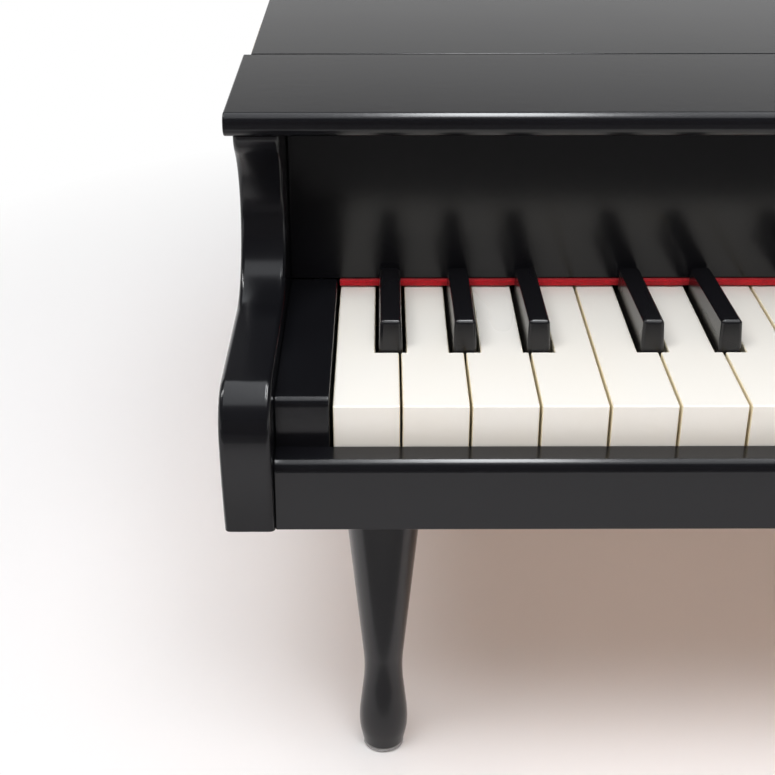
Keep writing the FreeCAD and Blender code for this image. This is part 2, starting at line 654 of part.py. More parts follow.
def sharp_centre(index, lefts):
    """Middle of a black key: the tails of C to E, and of F to B, share their widths evenly."""
    step = (FIRST_SEMITONE + index) % 12
    start, keys, tails = (0, 3, 5) if step < 5 else (5, 4, 7)
    first = index - (step - start)
    if first in lefts:
        origin = lefts[first]
    else:
        later = min(i for i in lefts if i > index)
        origin = lefts[later] - KEY_PITCH * ((step - start + 1) // 2)
    return origin + (step - start + 0.5) * KEY_PITCH * keys / tails


def lay_out_keys():
    """All keys from the lowest to the highest."""
    steps = [(FIRST_SEMITONE + i) % 12 for i in range(KEY_COUNT)]
    lefts = {}
    for i, step in enumerate(steps):
        if step in WHITE_STEPS:
            lefts[i] = -KEYS_HALF + KEY_PITCH * len(lefts)
    sharps = {i: sharp_centre(i, lefts) for i in range(KEY_COUNT) if i not in lefts}
    reach = SHARP_WIDTH / 2 + SHARP_CLEARANCE
    keys = []
    for i, step in enumerate(steps):
        if i in sharps:
            span = (sharps[i] - SHARP_WIDTH / 2, sharps[i] + SHARP_WIDTH / 2)
            keys.append(Key(i + 1, NOTE_NAMES[step], False, span, span))
        else:
            head = (lefts[i] + KEY_GAP / 2, lefts[i] + KEY_PITCH - KEY_GAP / 2)
            left = sharps[i - 1] + reach if i - 1 in sharps else head[0]
            right = sharps[i + 1] - reach if i + 1 in sharps else head[1]
            keys.append(Key(i + 1, NOTE_NAMES[step], True, head, (left, right)))
    return keys


def outline_without_repeats(points):
    """Drop points that repeat or lie on the line between their neighbours."""
    kept = []
    count = len(points)
    for i, (x, y) in enumerate(points):
        ax, ay = points[i - 1]
        bx, by = points[(i + 1) % count]
        turn = (x - ax) * (by - y) - (y - ay) * (bx - x)
        if abs(turn) > 1e-6:
            kept.append((x, y))
    return kept


def key_blank(key, front, top_points):
    """Key body from its outline and its side view."""
    h0, h1 = key.head
    s0, s1 = key.shank
    notch = KEY_FRONT + WHITE_HEAD
    right = [(h1, front), (h1, notch), (s1, notch)] if h1 - s1 > 0.01 else [(h1, front)]
    left = [(s0, notch), (h0, notch), (h0, front)] if s0 - h0 > 0.01 else [(h0, front)]
    outline = outline_without_repeats(right + [(s1, LEVER_END), (s0, LEVER_END)] + left)
    body = plan_slab(outline, KEY_BOTTOM, KEY_TOP)
    rise = PIVOT_Y + HUB_HALF_LENGTH + 2
    profile = top_points + [(LEVER_END, LEVER_TOP), (LEVER_END, LEVER_BOTTOM),
                            (rise + KEY_HEIGHT - LEVER_STEP - LEVER_DEPTH, LEVER_BOTTOM),
                            (rise, KEY_BOTTOM), (front, KEY_BOTTOM)]
    return body.common(side_slab(profile, h0 - 1, h1 + 1))


def rod_slot(clearance):
    """Side view of a notch with straight walls, open upward, that the rod lies in."""
    grip = PIVOT_ROD + clearance
    top = KEY_HEIGHT / 2
    outline = [(-grip, top), (-grip, -grip), (grip, -grip), (grip, top)]
    return [(PIVOT_Y + y, PIVOT_Z + z) for y, z in outline]


def rod_clip(clearance, mouth):
    """Side view of a notch that snaps over the rod, open upward for mouth 1 or downward for -1."""
    grip = PIVOT_ROD + clearance
    neck = grip * ROD_NECK
    half = [(grip, -grip), (grip, grip * 0.28), (neck, grip * 0.77), (neck, KEY_HEIGHT / 2)]
    outline = half + [(-y, z) for y, z in reversed(half)]
    return [(PIVOT_Y + y, PIVOT_Z + z * mouth) for y, z in outline]


def hollow(key, body, pockets, ceiling):
    """Pockets from below, and the tongue that snaps over the rod."""
    for x0, x1, y0, y1 in pockets:
        body = body.cut(box(x0, x1, y0, y1, KEY_BOTTOM - 1, ceiling))
    roof = PIVOT_Z + TOOTH_COVER + RAIL_LIFT
    y0 = PIVOT_Y - HUB_HALF_LENGTH
    y1 = PIVOT_Y + HUB_HALF_LENGTH
    s0, s1 = key.shank
    hub = HUB_WIDTH / 2
    body = body.cut(box(s0 - 1, key.centre - hub, y0, y1, KEY_BOTTOM - 1, roof))
    body = body.cut(box(key.centre + hub, s1 + 1, y0, y1, KEY_BOTTOM - 1, roof))
    return body.cut(side_slab(rod_clip(ROD_CLEARANCE, -1), s0 - 1, s1 + 1))


def hammer(key):
    """Springy arm on the lever's tail with a blunt striking head."""
    x0 = key.centre - HAMMER_WIDTH / 2
    foot = LEVER_END - HAMMER_FOOT
    top = KEY_TOP + HAMMER_TOP
    head = HAMMER_HEAD
    low = top - HAMMER_HEIGHT
    rise = LEVER_END - HAMMER_RISE
    heel = LEVER_END - HAMMER_HEEL

    slope = head * 0.6
    points = [(foot, LEVER_TOP), (rise, LEVER_TOP), (rise, LEVER_TOP + HAMMER_ARM),
              (STRIKE_Y - head, low), (STRIKE_Y + head, low), (STRIKE_Y + head, top - slope),
              (STRIKE_Y + head - slope, top), (STRIKE_Y - head + slope, top), (STRIKE_Y - head, top - slope),
              (STRIKE_Y - head, low + HAMMER_ARM * 1.3), (heel, LEVER_TOP + HAMMER_ARM * 2.2)]
    return side_slab(points, x0, x0 + HAMMER_WIDTH)


def white_key(key):
    """White key: broad head, notch beside each black key, lever and hammer."""
    step = FALLBOARD_BACK + 3
    body = key_blank(key, KEY_FRONT, [(KEY_FRONT, KEY_TOP), (step, KEY_TOP), (step, LEVER_TOP)])
    h0, h1 = key.head
    s0, s1 = key.shank
    front = KEY_FRONT + KEY_WALL + 1
    rib = KEY_FRONT + WHITE_HEAD
    pockets = [(h0 + KEY_WALL, h1 - KEY_WALL, front, rib - KEY_WALL * 2),
               (s0 + KEY_WALL, s1 - KEY_WALL, rib, PIVOT_Y - HUB_HALF_LENGTH - 4)]
    body = hollow(key, body, pockets, KEY_TOP - LEVER_STEP)
    return [body, hammer(key)]


def black_key(key):
    """Black key: tapered cap on a narrow lever, and its hammer."""
    front = KEY_FRONT + WHITE_HEAD + SHARP_FRONT_GAP
    rear = KEY_FRONT + WHITE_VISIBLE - SHARP_REAR_GAP
    deck = KEY_TOP - LEVER_STEP
    body = key_blank(key, front, [(front, deck), (LEVER_END - 1, deck)])
    half = SHARP_WIDTH / 2
    top = SHARP_TOP_WIDTH / 2
    crest = KEY_TOP + SHARP_RISE_FRONT
    side = [(front, deck), (front + SHARP_SLANT, crest), (rear, KEY_TOP + SHARP_RISE_REAR), (rear, deck)]
    c = key.centre
    ends = [V(c - half, front, deck), V(c + half, front, deck), V(c + top, front, crest),
            V(c - top, front, crest), V(c - half, front, deck)]
    taper = Part.Face(Part.makePolygon(ends)).extrude(V(0, rear - front, 0))
    cap = side_slab(side, c - half, c + half).common(taper)

    def upper(edge):
        b = edge.BoundBox
        return b.ZMax > KEY_TOP + SHARP_RISE_REAR - 0.01 and b.YMin < rear - 0.01

    cap = bevel_edges(cap, SHARP_EDGE, upper)
    body = body.fuse(cap).removeSplitter()
    s0, s1 = key.shank
    pockets = [(s0 + KEY_WALL, s1 - KEY_WALL, front + KEY_WALL, PIVOT_Y - HUB_HALF_LENGTH - 4)]
    body = hollow(key, body, pockets, KEY_TOP - LEVER_STEP * 1.6)
    return [body, hammer(key)]


# Action

def key_rails(keys):
    """Balance rail with a tooth beside every key, the end teeth as clips, and the rail under the tails."""
    half = RAIL_HALF
    base_top = KEY_BOTTOM - RAIL_LIFT
    y0 = PIVOT_Y - TOOTH_LENGTH / 2
    y1 = PIVOT_Y + TOOTH_LENGTH / 2
    rail = box(-half, half, y0 - 4, y1 + 4, BOARD_TOP, base_top)
    centres = [k.centre for k in keys]
    spots = [(a + b) / 2 for a, b in zip(centres, centres[1:])]
    spots = [centres[0] - HUB_WIDTH / 2 - TOOTH_WIDTH] + spots + [centres[-1] + HUB_WIDTH / 2 + TOOTH_WIDTH]
    teeth = []
    for x in spots:
        teeth.append(box(x - TOOTH_WIDTH / 2, x + TOOTH_WIDTH / 2, y0, y1, base_top, PIVOT_Z + TOOTH_COVER))
    rail = rail.multiFuse(teeth).cut(side_slab(rod_clip(ROD_SEAT, 1), -half - 1, half + 1))
    rail = rail.cut(side_slab(rod_slot(ROD_SEAT), spots[1] - TOOTH_WIDTH, spots[-2] + TOOTH_WIDTH))
    rest = LEVER_BOTTOM - FELT_GAP - REST_FELT
    tail_rail = box(-half, half, LEVER_END - REST_RAIL_WIDTH - 2, LEVER_END - 2, BOARD_TOP, rest)
    return [rail.removeSplitter(), tail_rail]


def dip_at(y):
    """How far a pressed key has sunk at y."""
    return (PIVOT_Y - y) * math.sin(KEY_ANGLE)


def key_guide_rail(keys):
    """Moulded strip with a blade that stands in the pocket of each key."""
    white_y = KEY_FRONT + KEY_WALL + 9
    black_y = KEY_FRONT + WHITE_HEAD + SHARP_FRONT_GAP + KEY_WALL + 7
    y1 = black_y + GUIDE_LENGTH + 3
    rail = box(-KEYS_HALF + 1, KEYS_HALF - 1, white_y - 3, y1, BOARD_TOP, BOARD_TOP + GUIDE_BASE)
    blades = []
    for key in keys:
        y = white_y if key.white else black_y
        ceiling = KEY_TOP - LEVER_STEP if key.white else KEY_TOP - LEVER_STEP * 1.6
        top = ceiling - dip_at(y) - 1
        x0 = key.head[0] + KEY_WALL + GUIDE_CLEARANCE
        x1 = key.head[1] - KEY_WALL - GUIDE_CLEARANCE
        blades.append(box(x0, x1, y, y + GUIDE_LENGTH, BOARD_TOP + GUIDE_BASE, top))
    return rail.multiFuse(blades).removeSplitter()


def action_felts():
    """Felts under the white fronts, the black fronts and the tails, and on the two tube rails."""
    half = KEYS_HALF - 1
    felts = []
    y = KEY_FRONT + 1
    felts.append(box(-half, half, y, y + 6, BOARD_TOP, KEY_BOTTOM - dip_at(y) - FELT_GAP))
    y = KEY_FRONT + WHITE_HEAD + SHARP_FRONT_GAP + KEY_WALL + 7 + GUIDE_LENGTH + 4
    felts.append(box(-half, half, y, y + 6, BOARD_TOP, KEY_BOTTOM - dip_at(y) - FELT_GAP))
    rest = LEVER_BOTTOM - FELT_GAP
    felts.append(box(-half, half, LEVER_END - REST_RAIL_WIDTH - 2, LEVER_END - 2, rest - REST_FELT, rest))
    for side in (-1, 1):
        felts.append(rail_band(side, TUBE_RAIL_WIDTH - 2, TUBE_RAIL_TOP, TUBE_RAIL_TOP + TUBE_FELT, 0.5))
    return felts


# Tone tubes

def tube_length(number):
    """Length of a free tube that sounds the given key, counted from the lowest."""
    return TUBE_LONGEST * 2 ** (-(number - 1) / 24)


def rail_y(side, x):
    """Where the still points lie at x, ahead of the strike line or behind it."""
    span = KEYS_HALF * 2 / KEY_COUNT
    number = 1 + (x + KEYS_HALF) / span
    return STRIKE_Y + side * (0.5 - TUBE_NODE) * tube_length(number)


def rail_band(side, width, z0, z1, clearance):
    """Curved band that runs under or over the still points of all tubes."""
    xs = (-SIDE_INNER, 0.0, SIDE_INNER)
    a, b, c = [V(x, rail_y(side, x), z0) for x in xs]
    circle = arc(a, b, c).Curve
    centre = circle.Center
    radius = circle.Radius
    ring = Part.makeCylinder(radius + width / 2, z1 - z0, centre)
    ring = ring.cut(Part.makeCylinder(radius - width / 2, z1 - z0, centre))
    return ring.common(inside(clearance, z0, z1)).common(box(-SIDE_INNER, SIDE_INNER, FRONT, TAIL, z0, z1))


def tube_rails():
    """Front rail that bridges the levers between the sides, and rear rail on the bottom board."""
    front = rail_band(-1, TUBE_RAIL_WIDTH, TUBE_RAIL_TOP - TUBE_RAIL_HEIGHT, TUBE_RAIL_TOP, 0)
    rear = rail_band(1, TUBE_RAIL_WIDTH, BOARD_TOP, TUBE_RAIL_TOP, GLUE_GAP)
    return [front, rear]


def tube_strips(keys):
    """Strips over the tubes, standing on the rails with a foot at each end."""
    z0 = TUBE_BOTTOM + 2 * TUBE_RADIUS + TUBE_SEAT_GAP
    left = keys[0].centre - TUBE_RADIUS * 2.4
    right = keys[-1].centre + TUBE_RADIUS * 2.4
    strips = []
    for side in (-1, 1):
        bar = rail_band(side, STRIP_WIDTH, z0, z0 + STRIP_HEIGHT, GLUE_GAP)
        bar = bar.common(box(left - STRIP_FOOT, right + STRIP_FOOT, FRONT, TAIL, z0, z0 + STRIP_HEIGHT))
        feet = rail_band(side, STRIP_WIDTH, TUBE_RAIL_TOP + TUBE_FELT, z0, GLUE_GAP)
        for x in (left - STRIP_FOOT, right):
            bar = bar.fuse(feet.common(box(x, x + STRIP_FOOT, FRONT, TAIL, TUBE_RAIL_TOP, z0)))
        strips.append(bar.removeSplitter())
    return strips


def tone_tube(key):
    """One open aluminium tube over its hammer."""
    length = tube_length(key.number)
    y0 = STRIKE_Y - length / 2
    outer = flat_rod_y(TUBE_SIDES, TUBE_RADIUS, y0, y0 + length, key.centre, TUBE_Z)
    bore = (TUBE_RADIUS - TUBE_WALL) * math.cos(math.pi / BORE_SIDES)
    return outer.cut(flat_rod_y(BORE_SIDES, bore, y0, y0 + length, key.centre, TUBE_Z))


def save(node, pieces):
    """Write one node, with every piece as its own solid."""
    solids = [s for piece in pieces for s in piece.Solids]
    shape = solids[0] if len(solids) == 1 else Part.makeCompound(solids)
    shape.exportStep("parts/%s.step" % node)


def main():
    os.makedirs("parts", exist_ok=True)
    keys = lay_out_keys()
    fixed, moving = hinge_sets()
    save("bottom_board", [bottom_board()])
    save("spine_side", [spine_side()])
    save("treble_side", [side_panel(SIDE_INNER, CASE_HALF, BEND_START)])
    save("bent_rim", [bent_rim()])
    save("key_slip", [key_slip()])
    save("key_blocks", [key_block(-SIDE_INNER, -BLOCK_INNER), key_block(BLOCK_INNER, SIDE_INNER)])
    save("fallboard", [fallboard()])
    save("nameboard_felt", [nameboard_felt()])
    save("front_top_board", [front_top_board()])
    save("lid", [lid()])
    save("hinge_case_leaves", fixed)
    save("hinge_lid_leaves", moving)
    save("lid_prop", [lid_prop()])
    save("prop_bracket", prop_bracket())
    save("prop_seat", [prop_seat()])
    for name, (x, y) in zip(("leg_front_left", "leg_front_right", "leg_rear"), LEG_PLACES):
        save(name, [leg(x, y)])
    save("leg_sockets", [leg_socket(x, y) for x, y in LEG_PLACES])
    pad = PAD_RADIUS * math.cos(math.pi / SMALL_SIDES)
    save("foot_pads", [flat_rod_z(SMALL_SIDES, pad, 0, PAD_HEIGHT, x, y) for x, y in LEG_PLACES])
    save("key_rails", key_rails(keys))
    save("key_rod", [rod_x(PIVOT_ROD, -RAIL_HALF, RAIL_HALF, PIVOT_Y, PIVOT_Z)])
    save("key_guide_rail", [key_guide_rail(keys)])
    save("action_felts", action_felts())
    save("tube_rails", tube_rails())
    save("tube_strips", tube_strips(keys))
    save("tone_tubes", [tone_tube(key) for key in keys])
    for key in keys:
        save(key.node(), white_key(key) if key.white else black_key(key))


if __name__ == "__main__":
    main()
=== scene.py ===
"""Looks of a toy grand piano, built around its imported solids. Metres, +Y to the tail, +Z up."""

import json
import logging
import math
from dataclasses import dataclass
from enum import Enum
from typing import Callable, Mapping, Optional, Sequence, Union

import bmesh
import bpy
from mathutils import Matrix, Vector
from mathutils import noise as grit


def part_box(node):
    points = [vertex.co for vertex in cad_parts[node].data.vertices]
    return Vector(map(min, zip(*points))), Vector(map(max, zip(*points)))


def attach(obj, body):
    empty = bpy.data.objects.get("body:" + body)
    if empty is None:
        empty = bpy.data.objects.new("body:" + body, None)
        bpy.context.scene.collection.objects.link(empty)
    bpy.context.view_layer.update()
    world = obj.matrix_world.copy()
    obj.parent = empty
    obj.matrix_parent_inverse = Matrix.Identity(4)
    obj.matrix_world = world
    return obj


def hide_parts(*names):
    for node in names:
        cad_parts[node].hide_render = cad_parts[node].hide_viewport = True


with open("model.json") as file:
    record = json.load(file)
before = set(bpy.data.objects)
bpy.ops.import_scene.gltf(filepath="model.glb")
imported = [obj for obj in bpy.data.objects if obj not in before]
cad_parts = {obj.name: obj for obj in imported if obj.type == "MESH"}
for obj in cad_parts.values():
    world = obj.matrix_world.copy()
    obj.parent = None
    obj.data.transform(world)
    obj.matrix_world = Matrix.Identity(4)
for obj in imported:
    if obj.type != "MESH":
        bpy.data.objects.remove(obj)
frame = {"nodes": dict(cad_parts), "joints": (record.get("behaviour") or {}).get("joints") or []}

log = logging.getLogger("toy_piano")
Point = tuple[float, float]
Place = tuple[float, float, float]
Colour = tuple[float, float, float]
Mesh = bmesh.types.BMesh
Edge = bmesh.types.BMEdge
EdgeTest = Callable[[Edge], bool]
Piece = bpy.types.Object
Socket = bpy.types.NodeSocket
Owner = Union[bpy.types.Material, bpy.types.World]
Value = Union[Socket, float, Sequence[float]]
UP = Vector((0, 0, 1))
DOWN = Vector((0, 0, -1))
TAILWARD = Vector((0, 1, 0))
TOUCH = 1e-4
WELD = 2e-6
FLAT_ANGLE = 0.6
SCREW_SIDES = 24
LEGS = ("leg_front_left", "leg_front_right", "leg_rear")


class Body(str, Enum):
    """Bodies that the pieces ride on; each key has a body of its own besides."""

    CASE = "case"
    LID = "lid"
    PROP = "prop"


class Slot(str, Enum):
    """Material slots of the record."""

    LACQUER = "black_lacquer"
    RED_FELT = "red_felt"
    BRASS = "brass"
    WOOD = "bare_wood"
    STEEL = "zinc_steel"
    GREY_FELT = "grey_felt"
    PLASTIC = "grey_plastic"
    ALUMINIUM = "aluminium"
    WHITE_KEY = "white_key"
    BLACK_KEY = "black_key"


class Along(Enum):
    """Direction that a grain or a brushed line runs in."""

    ACROSS = (0.05, 1.0, 1.0)
    LENGTHWISE = (1.0, 0.05, 1.0)


# Finishes

class Wiring:
    """Adds and joins the shader nodes of one material or of the world."""

    def __init__(self, owner: Owner, coordinates: str = "Object") -> None:
        """Start with the plain nodes that the owner comes with.

        Args:
            owner: Material or world.
            coordinates: Output of the coordinates that its patterns lie in.
        """
        owner.use_nodes = True
        self.owner = owner
        self.nodes = owner.node_tree.nodes
        self.links = owner.node_tree.links
        self.shader = self.nodes.get("Principled BSDF")
        self.surface = next(n for n in self.nodes if n.type.startswith("OUTPUT")).inputs["Surface"]
        self.place = self.node("TexCoord").outputs[coordinates]

    def put(self, target: Socket, value: Value) -> None:
        """Join a socket to an input, or set the input to a value.

        Args:
            target: The input.
            value: Socket to join, or number or numbers to set.
        """
        if isinstance(value, Socket):
            self.links.new(value, target)
        else:
            target.default_value = value

    def node(self, kind: str, inputs: Optional[Mapping[Union[str, int], Value]] = None,
             operation: str = "") -> bpy.types.Node:
        """A new node.

        Args:
            kind: Its kind, without the words that all shader nodes start with.
            inputs: What goes into its inputs, by their names or numbers.
            operation: Its operation, for nodes that reckon.

        Returns:
            The node.
        """
        made = self.nodes.new("ShaderNode" + kind)
        if operation:
            made.operation = operation
        for key, value in (inputs or {}).items():
            self.put(made.inputs[key], value)
        return made

    def reckon(self, operation: str, *numbers: Value) -> Socket:
        """The result of an operation on numbers."""
        return self.node("Math", dict(enumerate(numbers)), operation).outputs["Value"]

    def sum(self, first: Socket, second: Socket, share: float) -> Socket:
        """One value and a share of a second one."""
        return self.reckon("MULTIPLY_ADD", second, share, first)

    def noise(self, scale: float, detail: float = 3.0, stretch: Sequence[float] = (1, 1, 1),
              warp: float = 0.0) -> Socket:
        """Noise over the piece.

        Args:
            scale: Waves in a metre.
            detail: Finer layers on top of the first.
            stretch: Scale along each axis, below 1 for drawn-out marks.
            warp: How much the noise folds into itself.

        Returns:
            The socket of the noise, about 0.3 to 0.7.
        """
        spot = self.node("Mapping", {"Vector": self.place, "Scale": [scale * s for s in stretch]})
        inputs = {"Vector": spot.outputs["Vector"], "Scale": 1.0, "Detail": detail, "Distortion": warp}
        return self.node("TexNoise", inputs).outputs["Fac"]

    def cells(self, scale: float) -> Socket:
        """Distance to the nearest of scattered points, with so many points in a metre."""
        spot = self.node("Mapping", {"Vector": self.place, "Scale": [scale] * 3})
        return self.node("TexVoronoi", {"Vector": spot.outputs["Vector"], "Scale": 1.0}).outputs["Distance"]

    def spread(self, value: Socket, low: float, high: float, to_low: float, to_high: float) -> Socket:
        """Map one span of values to another.

        Args:
            value: Socket with the value.
            low: Start of the span.
            high: End of the span.
            to_low: What the start becomes.
            to_high: What the end becomes.

        Returns:
            The socket of the mapped value.
        """
        inputs = {"Value": value, "From Min": low, "From Max": high, "To Min": to_low, "To Max": to_high}
        return self.node("MapRange", inputs).outputs["Result"]

    def blend(self, value: Socket, stops: Sequence[tuple[float, Colour]]) -> Socket:
        """Colours along a value.

        Args:
            value: Socket with the value.
            stops: Places from 0 to 1, each with its colour.

        Returns:
            The socket of the colour.
        """
        made = self.node("ValToRGB", {"Fac": value})
        ramp = made.color_ramp
        while len(ramp.elements) < len(stops):
            ramp.elements.new(0.5)
        for element, (place, colour) in zip(ramp.elements, stops):
            element.position = place
            element.color = (*colour, 1.0)
        return made.outputs["Color"]

    def tint(self, value: Socket, colour: Colour, *steps: Point) -> Socket:
        """Darker and lighter shades of a colour along a value, each step a place and a factor."""
        stops = [(place, tuple(min(1.0, c * factor) for c in colour)) for place, factor in steps]
        return self.blend(value, stops)

    def bump(self, height: Socket, strength: float, distance: float) -> Socket:
        """Direction of a surface that is raised by a height.

        Args:
            height: Socket with the height.
            strength: Share of the bump that shows.
            distance: Height of the bump in metres.

        Returns:
            The socket of the direction.
        """
        inputs = {"Height": height, "Strength": strength, "Distance": distance}
        return self.node("Bump", inputs).outputs["Normal"]

    def mix(self, share: Socket, first: Socket, second: Socket) -> Socket:
        """Two shaders, mixed by the share of the second."""
        return self.node("MixShader", {"Fac": share, 1: first, 2: second}).outputs["Shader"]

    def seen(self) -> Socket:
        """One for rays from the camera, gloss or glass, and nought for those that only light.

        Returns:
            The socket of that value.
        """
        rays = self.node("LightPath").outputs
        direct = self.reckon("MAXIMUM", rays["Is Camera Ray"], rays["Is Glossy Ray"])
        return self.reckon("MAXIMUM", direct, rays["Is Transmission Ray"])

    def shade(self, **inputs: Value) -> None:
        """Fill inputs of the plain shader; underscores stand for spaces in their names."""
        for name, value in inputs.items():
            self.put(self.shader.inputs[name.replace("_", " ")], value)


@dataclass(frozen=True)
class Finish:
    """What every finish has: a name, a slot of the record and a way to make its material."""

    name: str
    slot: Slot

    def material(self) -> bpy.types.Material:
        """The material of this finish, made once.

        Returns:
            The material.
        """
        found = bpy.data.materials.get(self.name)
        if found is None:
            found = bpy.data.materials.new(self.name)
            self.wire(Wiring(found))
        return found

    def wire(self, wiring: Wiring) -> None:
        """Join the nodes; each kind of finish has its own way."""
        raise NotImplementedError


@dataclass(frozen=True)
class Lacquer(Finish):
    """Black gloss lacquer with a little orange peel, cloudy gloss and specks of dust under it."""

    slot: Slot = Slot.LACQUER
    colour: Colour = (0.0052, 0.0054, 0.0068)
    shine: Point = (0.175, 0.205)
    peel: float = 0.03

    def wire(self, wiring: Wiring) -> None:
        """Join the nodes of the lacquer.

        Args:
            wiring: Wiring of its material.
        """
        clouds = wiring.noise(23, 4)
        specks = wiring.cells(420)
        wiped = wiring.sum(clouds, wiring.noise(60, 3, Along.ACROSS.value, 0.4), 0.5)
        grains = wiring.spread(specks, 0.0, 0.09, 1.0, 0.0)
        peel = wiring.sum(wiring.noise(330, 2), grains, 0.25)
        dusty = wiring.sum(clouds, specks, 0.06)
        wiring.shade(Base_Color=wiring.tint(dusty, self.colour, (0.3, 0.88), (0.7, 1.15)),
                     Roughness=wiring.spread(wiped, 0.45, 1.0, *self.shine),
                     Normal=wiring.bump(peel, self.peel, 0.0004), IOR=1.46)


@dataclass(frozen=True)
class KeyPlastic(Finish):
    """Moulded key plastic with faint flow clouds and the fine dulling of a polish along the key."""

    colour: Colour = (0.86, 0.855, 0.82)
    shine: Point = (0.27, 0.33)
    variety: float = 0.04
    texture: float = 0.004

    def wire(self, wiring: Wiring) -> None:
        """Join the nodes of the key plastic.

        Args:
            wiring: Wiring of its material.
        """
        flow = wiring.noise(38, 2, (1, 0.35, 1), 0.15)
        red, green, blue = self.colour
        warm = (red, green * (1 - self.variety * 0.4), blue * (1 - self.variety))
        marks = wiring.sum(wiring.noise(1400, 2, (1, 0.12, 1)), wiring.noise(170, 2), 0.6)
        wiring.shade(Base_Color=wiring.blend(flow, [(0.3, self.colour), (0.72, warm)]),
                     Roughness=wiring.spread(flow, 0.35, 0.65, *self.shine),
                     Normal=wiring.bump(marks, self.texture, 0.0002), IOR=1.53)


@dataclass(frozen=True)
class Felt(Finish):
    """Pressed wool felt: matted fibres, uneven dye and a soft sheen."""

    colour: Colour = (0.3, 0.3, 0.3)
    sheen: float = 0.35

    def wire(self, wiring: Wiring) -> None:
        """Join the nodes of the felt.

        Args:
            wiring: Wiring of its material.
        """
        fibres = wiring.noise(2600, 5, (1, 0.4, 1), 1.6)
        dye = wiring.sum(fibres, wiring.noise(190, 3), 0.5)
        matted = wiring.sum(fibres, wiring.cells(1500), 0.5)
        wiring.shade(Base_Color=wiring.tint(dye, self.colour, (0.45, 0.55), (0.75, 1.0), (1.0, 1.45)),
                     Roughness=wiring.spread(fibres, 0.3, 0.7, 0.88, 1.0),
                     Normal=wiring.bump(matted, 0.7, 0.0006), Sheen_Weight=self.sheen, Sheen_Roughness=0.55)


@dataclass(frozen=True)
class Metal(Finish):
    """Metal with drawn or brushed lines and slight tarnish."""

    colour: Colour = (0.8, 0.8, 0.82)
    shine: Point = (0.18, 0.34)
    lines: Along = Along.LENGTHWISE
    tarnish: float = 0.75

    def wire(self, wiring: Wiring) -> None:
        """Join the nodes of the metal.

        Args:
            wiring: Wiring of its material.
        """
        drawn = wiring.noise(1700, 2, self.lines.value)
        clouds = wiring.noise(70, 4, warp=0.5)
        spots = wiring.sum(clouds, drawn, 0.4)
        wiring.shade(Base_Color=wiring.tint(spots, self.colour, (0.5, self.tarnish), (0.8, 1.0)),
                     Roughness=wiring.spread(wiring.sum(drawn, clouds, 0.6), 0.5, 1.1, *self.shine),
                     Normal=wiring.bump(drawn, 0.08, 0.0002), Metallic=1.0)


@dataclass(frozen=True)
class Wood(Finish):
    """Bare planed wood with growth lines along the piece."""

    colour: Colour = (0.6, 0.41, 0.23)
    grain: Along = Along.ACROSS
    slot: Slot = Slot.WOOD

    def wire(self, wiring: Wiring) -> None:
        """Join the nodes of the wood.

        Args:
            wiring: Wiring of its material.
        """
        rings = wiring.noise(260, 3, self.grain.value, 0.8)
        lines = wiring.sum(rings, wiring.noise(1500, 2, self.grain.value), 0.35)
        wiring.shade(Base_Color=wiring.tint(lines, self.colour, (0.45, 0.6), (0.62, 1.0), (0.85, 1.18)),
                     Roughness=wiring.spread(lines, 0.4, 0.95, 0.72, 0.5),
                     Normal=wiring.bump(lines, 0.25, 0.0004))


@dataclass(frozen=True)
class MouldedPlastic(Finish):
    """Plain moulded plastic with a fine spark-eroded surface."""

    colour: Colour = (0.16, 0.16, 0.17)
    slot: Slot = Slot.PLASTIC

    def wire(self, wiring: Wiring) -> None:
        """Join the nodes of the plastic.

        Args:
            wiring: Wiring of its material.
        """
        pits = wiring.noise(2200, 3)
        flow = wiring.noise(45, 3, warp=0.7)
        wiring.shade(Base_Color=wiring.tint(flow, self.colour, (0.3, 0.85), (0.7, 1.15)),
                     Roughness=wiring.spread(pits, 0.3, 0.7, 0.4, 0.58),
                     Normal=wiring.bump(pits, 0.18, 0.0002))


GLOSS = Lacquer("gloss lacquer")
SATIN = Lacquer("rubbed lacquer", shine=(0.165, 0.19))
THIN = Lacquer("thin sprayed lacquer", colour=(0.014, 0.014, 0.015), shine=(0.34, 0.5), peel=0.22)
WHITE = KeyPlastic("white key plastic", Slot.WHITE_KEY)
# Warmer cream for the sides of white keys: painted bounce light in the gaps between keys.
PAINTED_GAP_LIGHT = KeyPlastic("white key plastic with painted gap light", Slot.WHITE_KEY, (0.87, 0.8, 0.61))
BLACK = KeyPlastic("black key plastic", Slot.BLACK_KEY, (0.0062, 0.0062, 0.0078), (0.22, 0.29),
                   texture=0.02)
HAMMER = MouldedPlastic("hammer plastic", colour=(0.42, 0.39, 0.33))
PLASTIC = MouldedPlastic("strip plastic")
RED = Felt("red felt", Slot.RED_FELT, (0.5, 0.006, 0.015), 0.12)
GREY = Felt("grey felt", Slot.GREY_FELT, (0.27, 0.27, 0.275))
RAIL_WOOD = Wood("planed rail wood")
BARE_BOARD = Wood("bare board", colour=(0.76, 0.58, 0.47), grain=Along.LENGTHWISE)
BRASS = Metal("rolled brass", Slot.BRASS, (0.86, 0.67, 0.35), (0.2, 0.34), tarnish=0.88)
STEEL = Metal("zinc plated steel", Slot.STEEL, (0.64, 0.65, 0.68), (0.22, 0.4), Along.ACROSS)
TUBE = Metal("drawn aluminium", Slot.ALUMINIUM, (0.86, 0.87, 0.89), (0.14, 0.3))


# Mesh work

@dataclass(frozen=True)
class Edging:
    """How edges are rounded: radius, steps of the curve and the least angle of an edge in degrees."""

    radius: float
    steps: int = 3
    least: float = 25.0


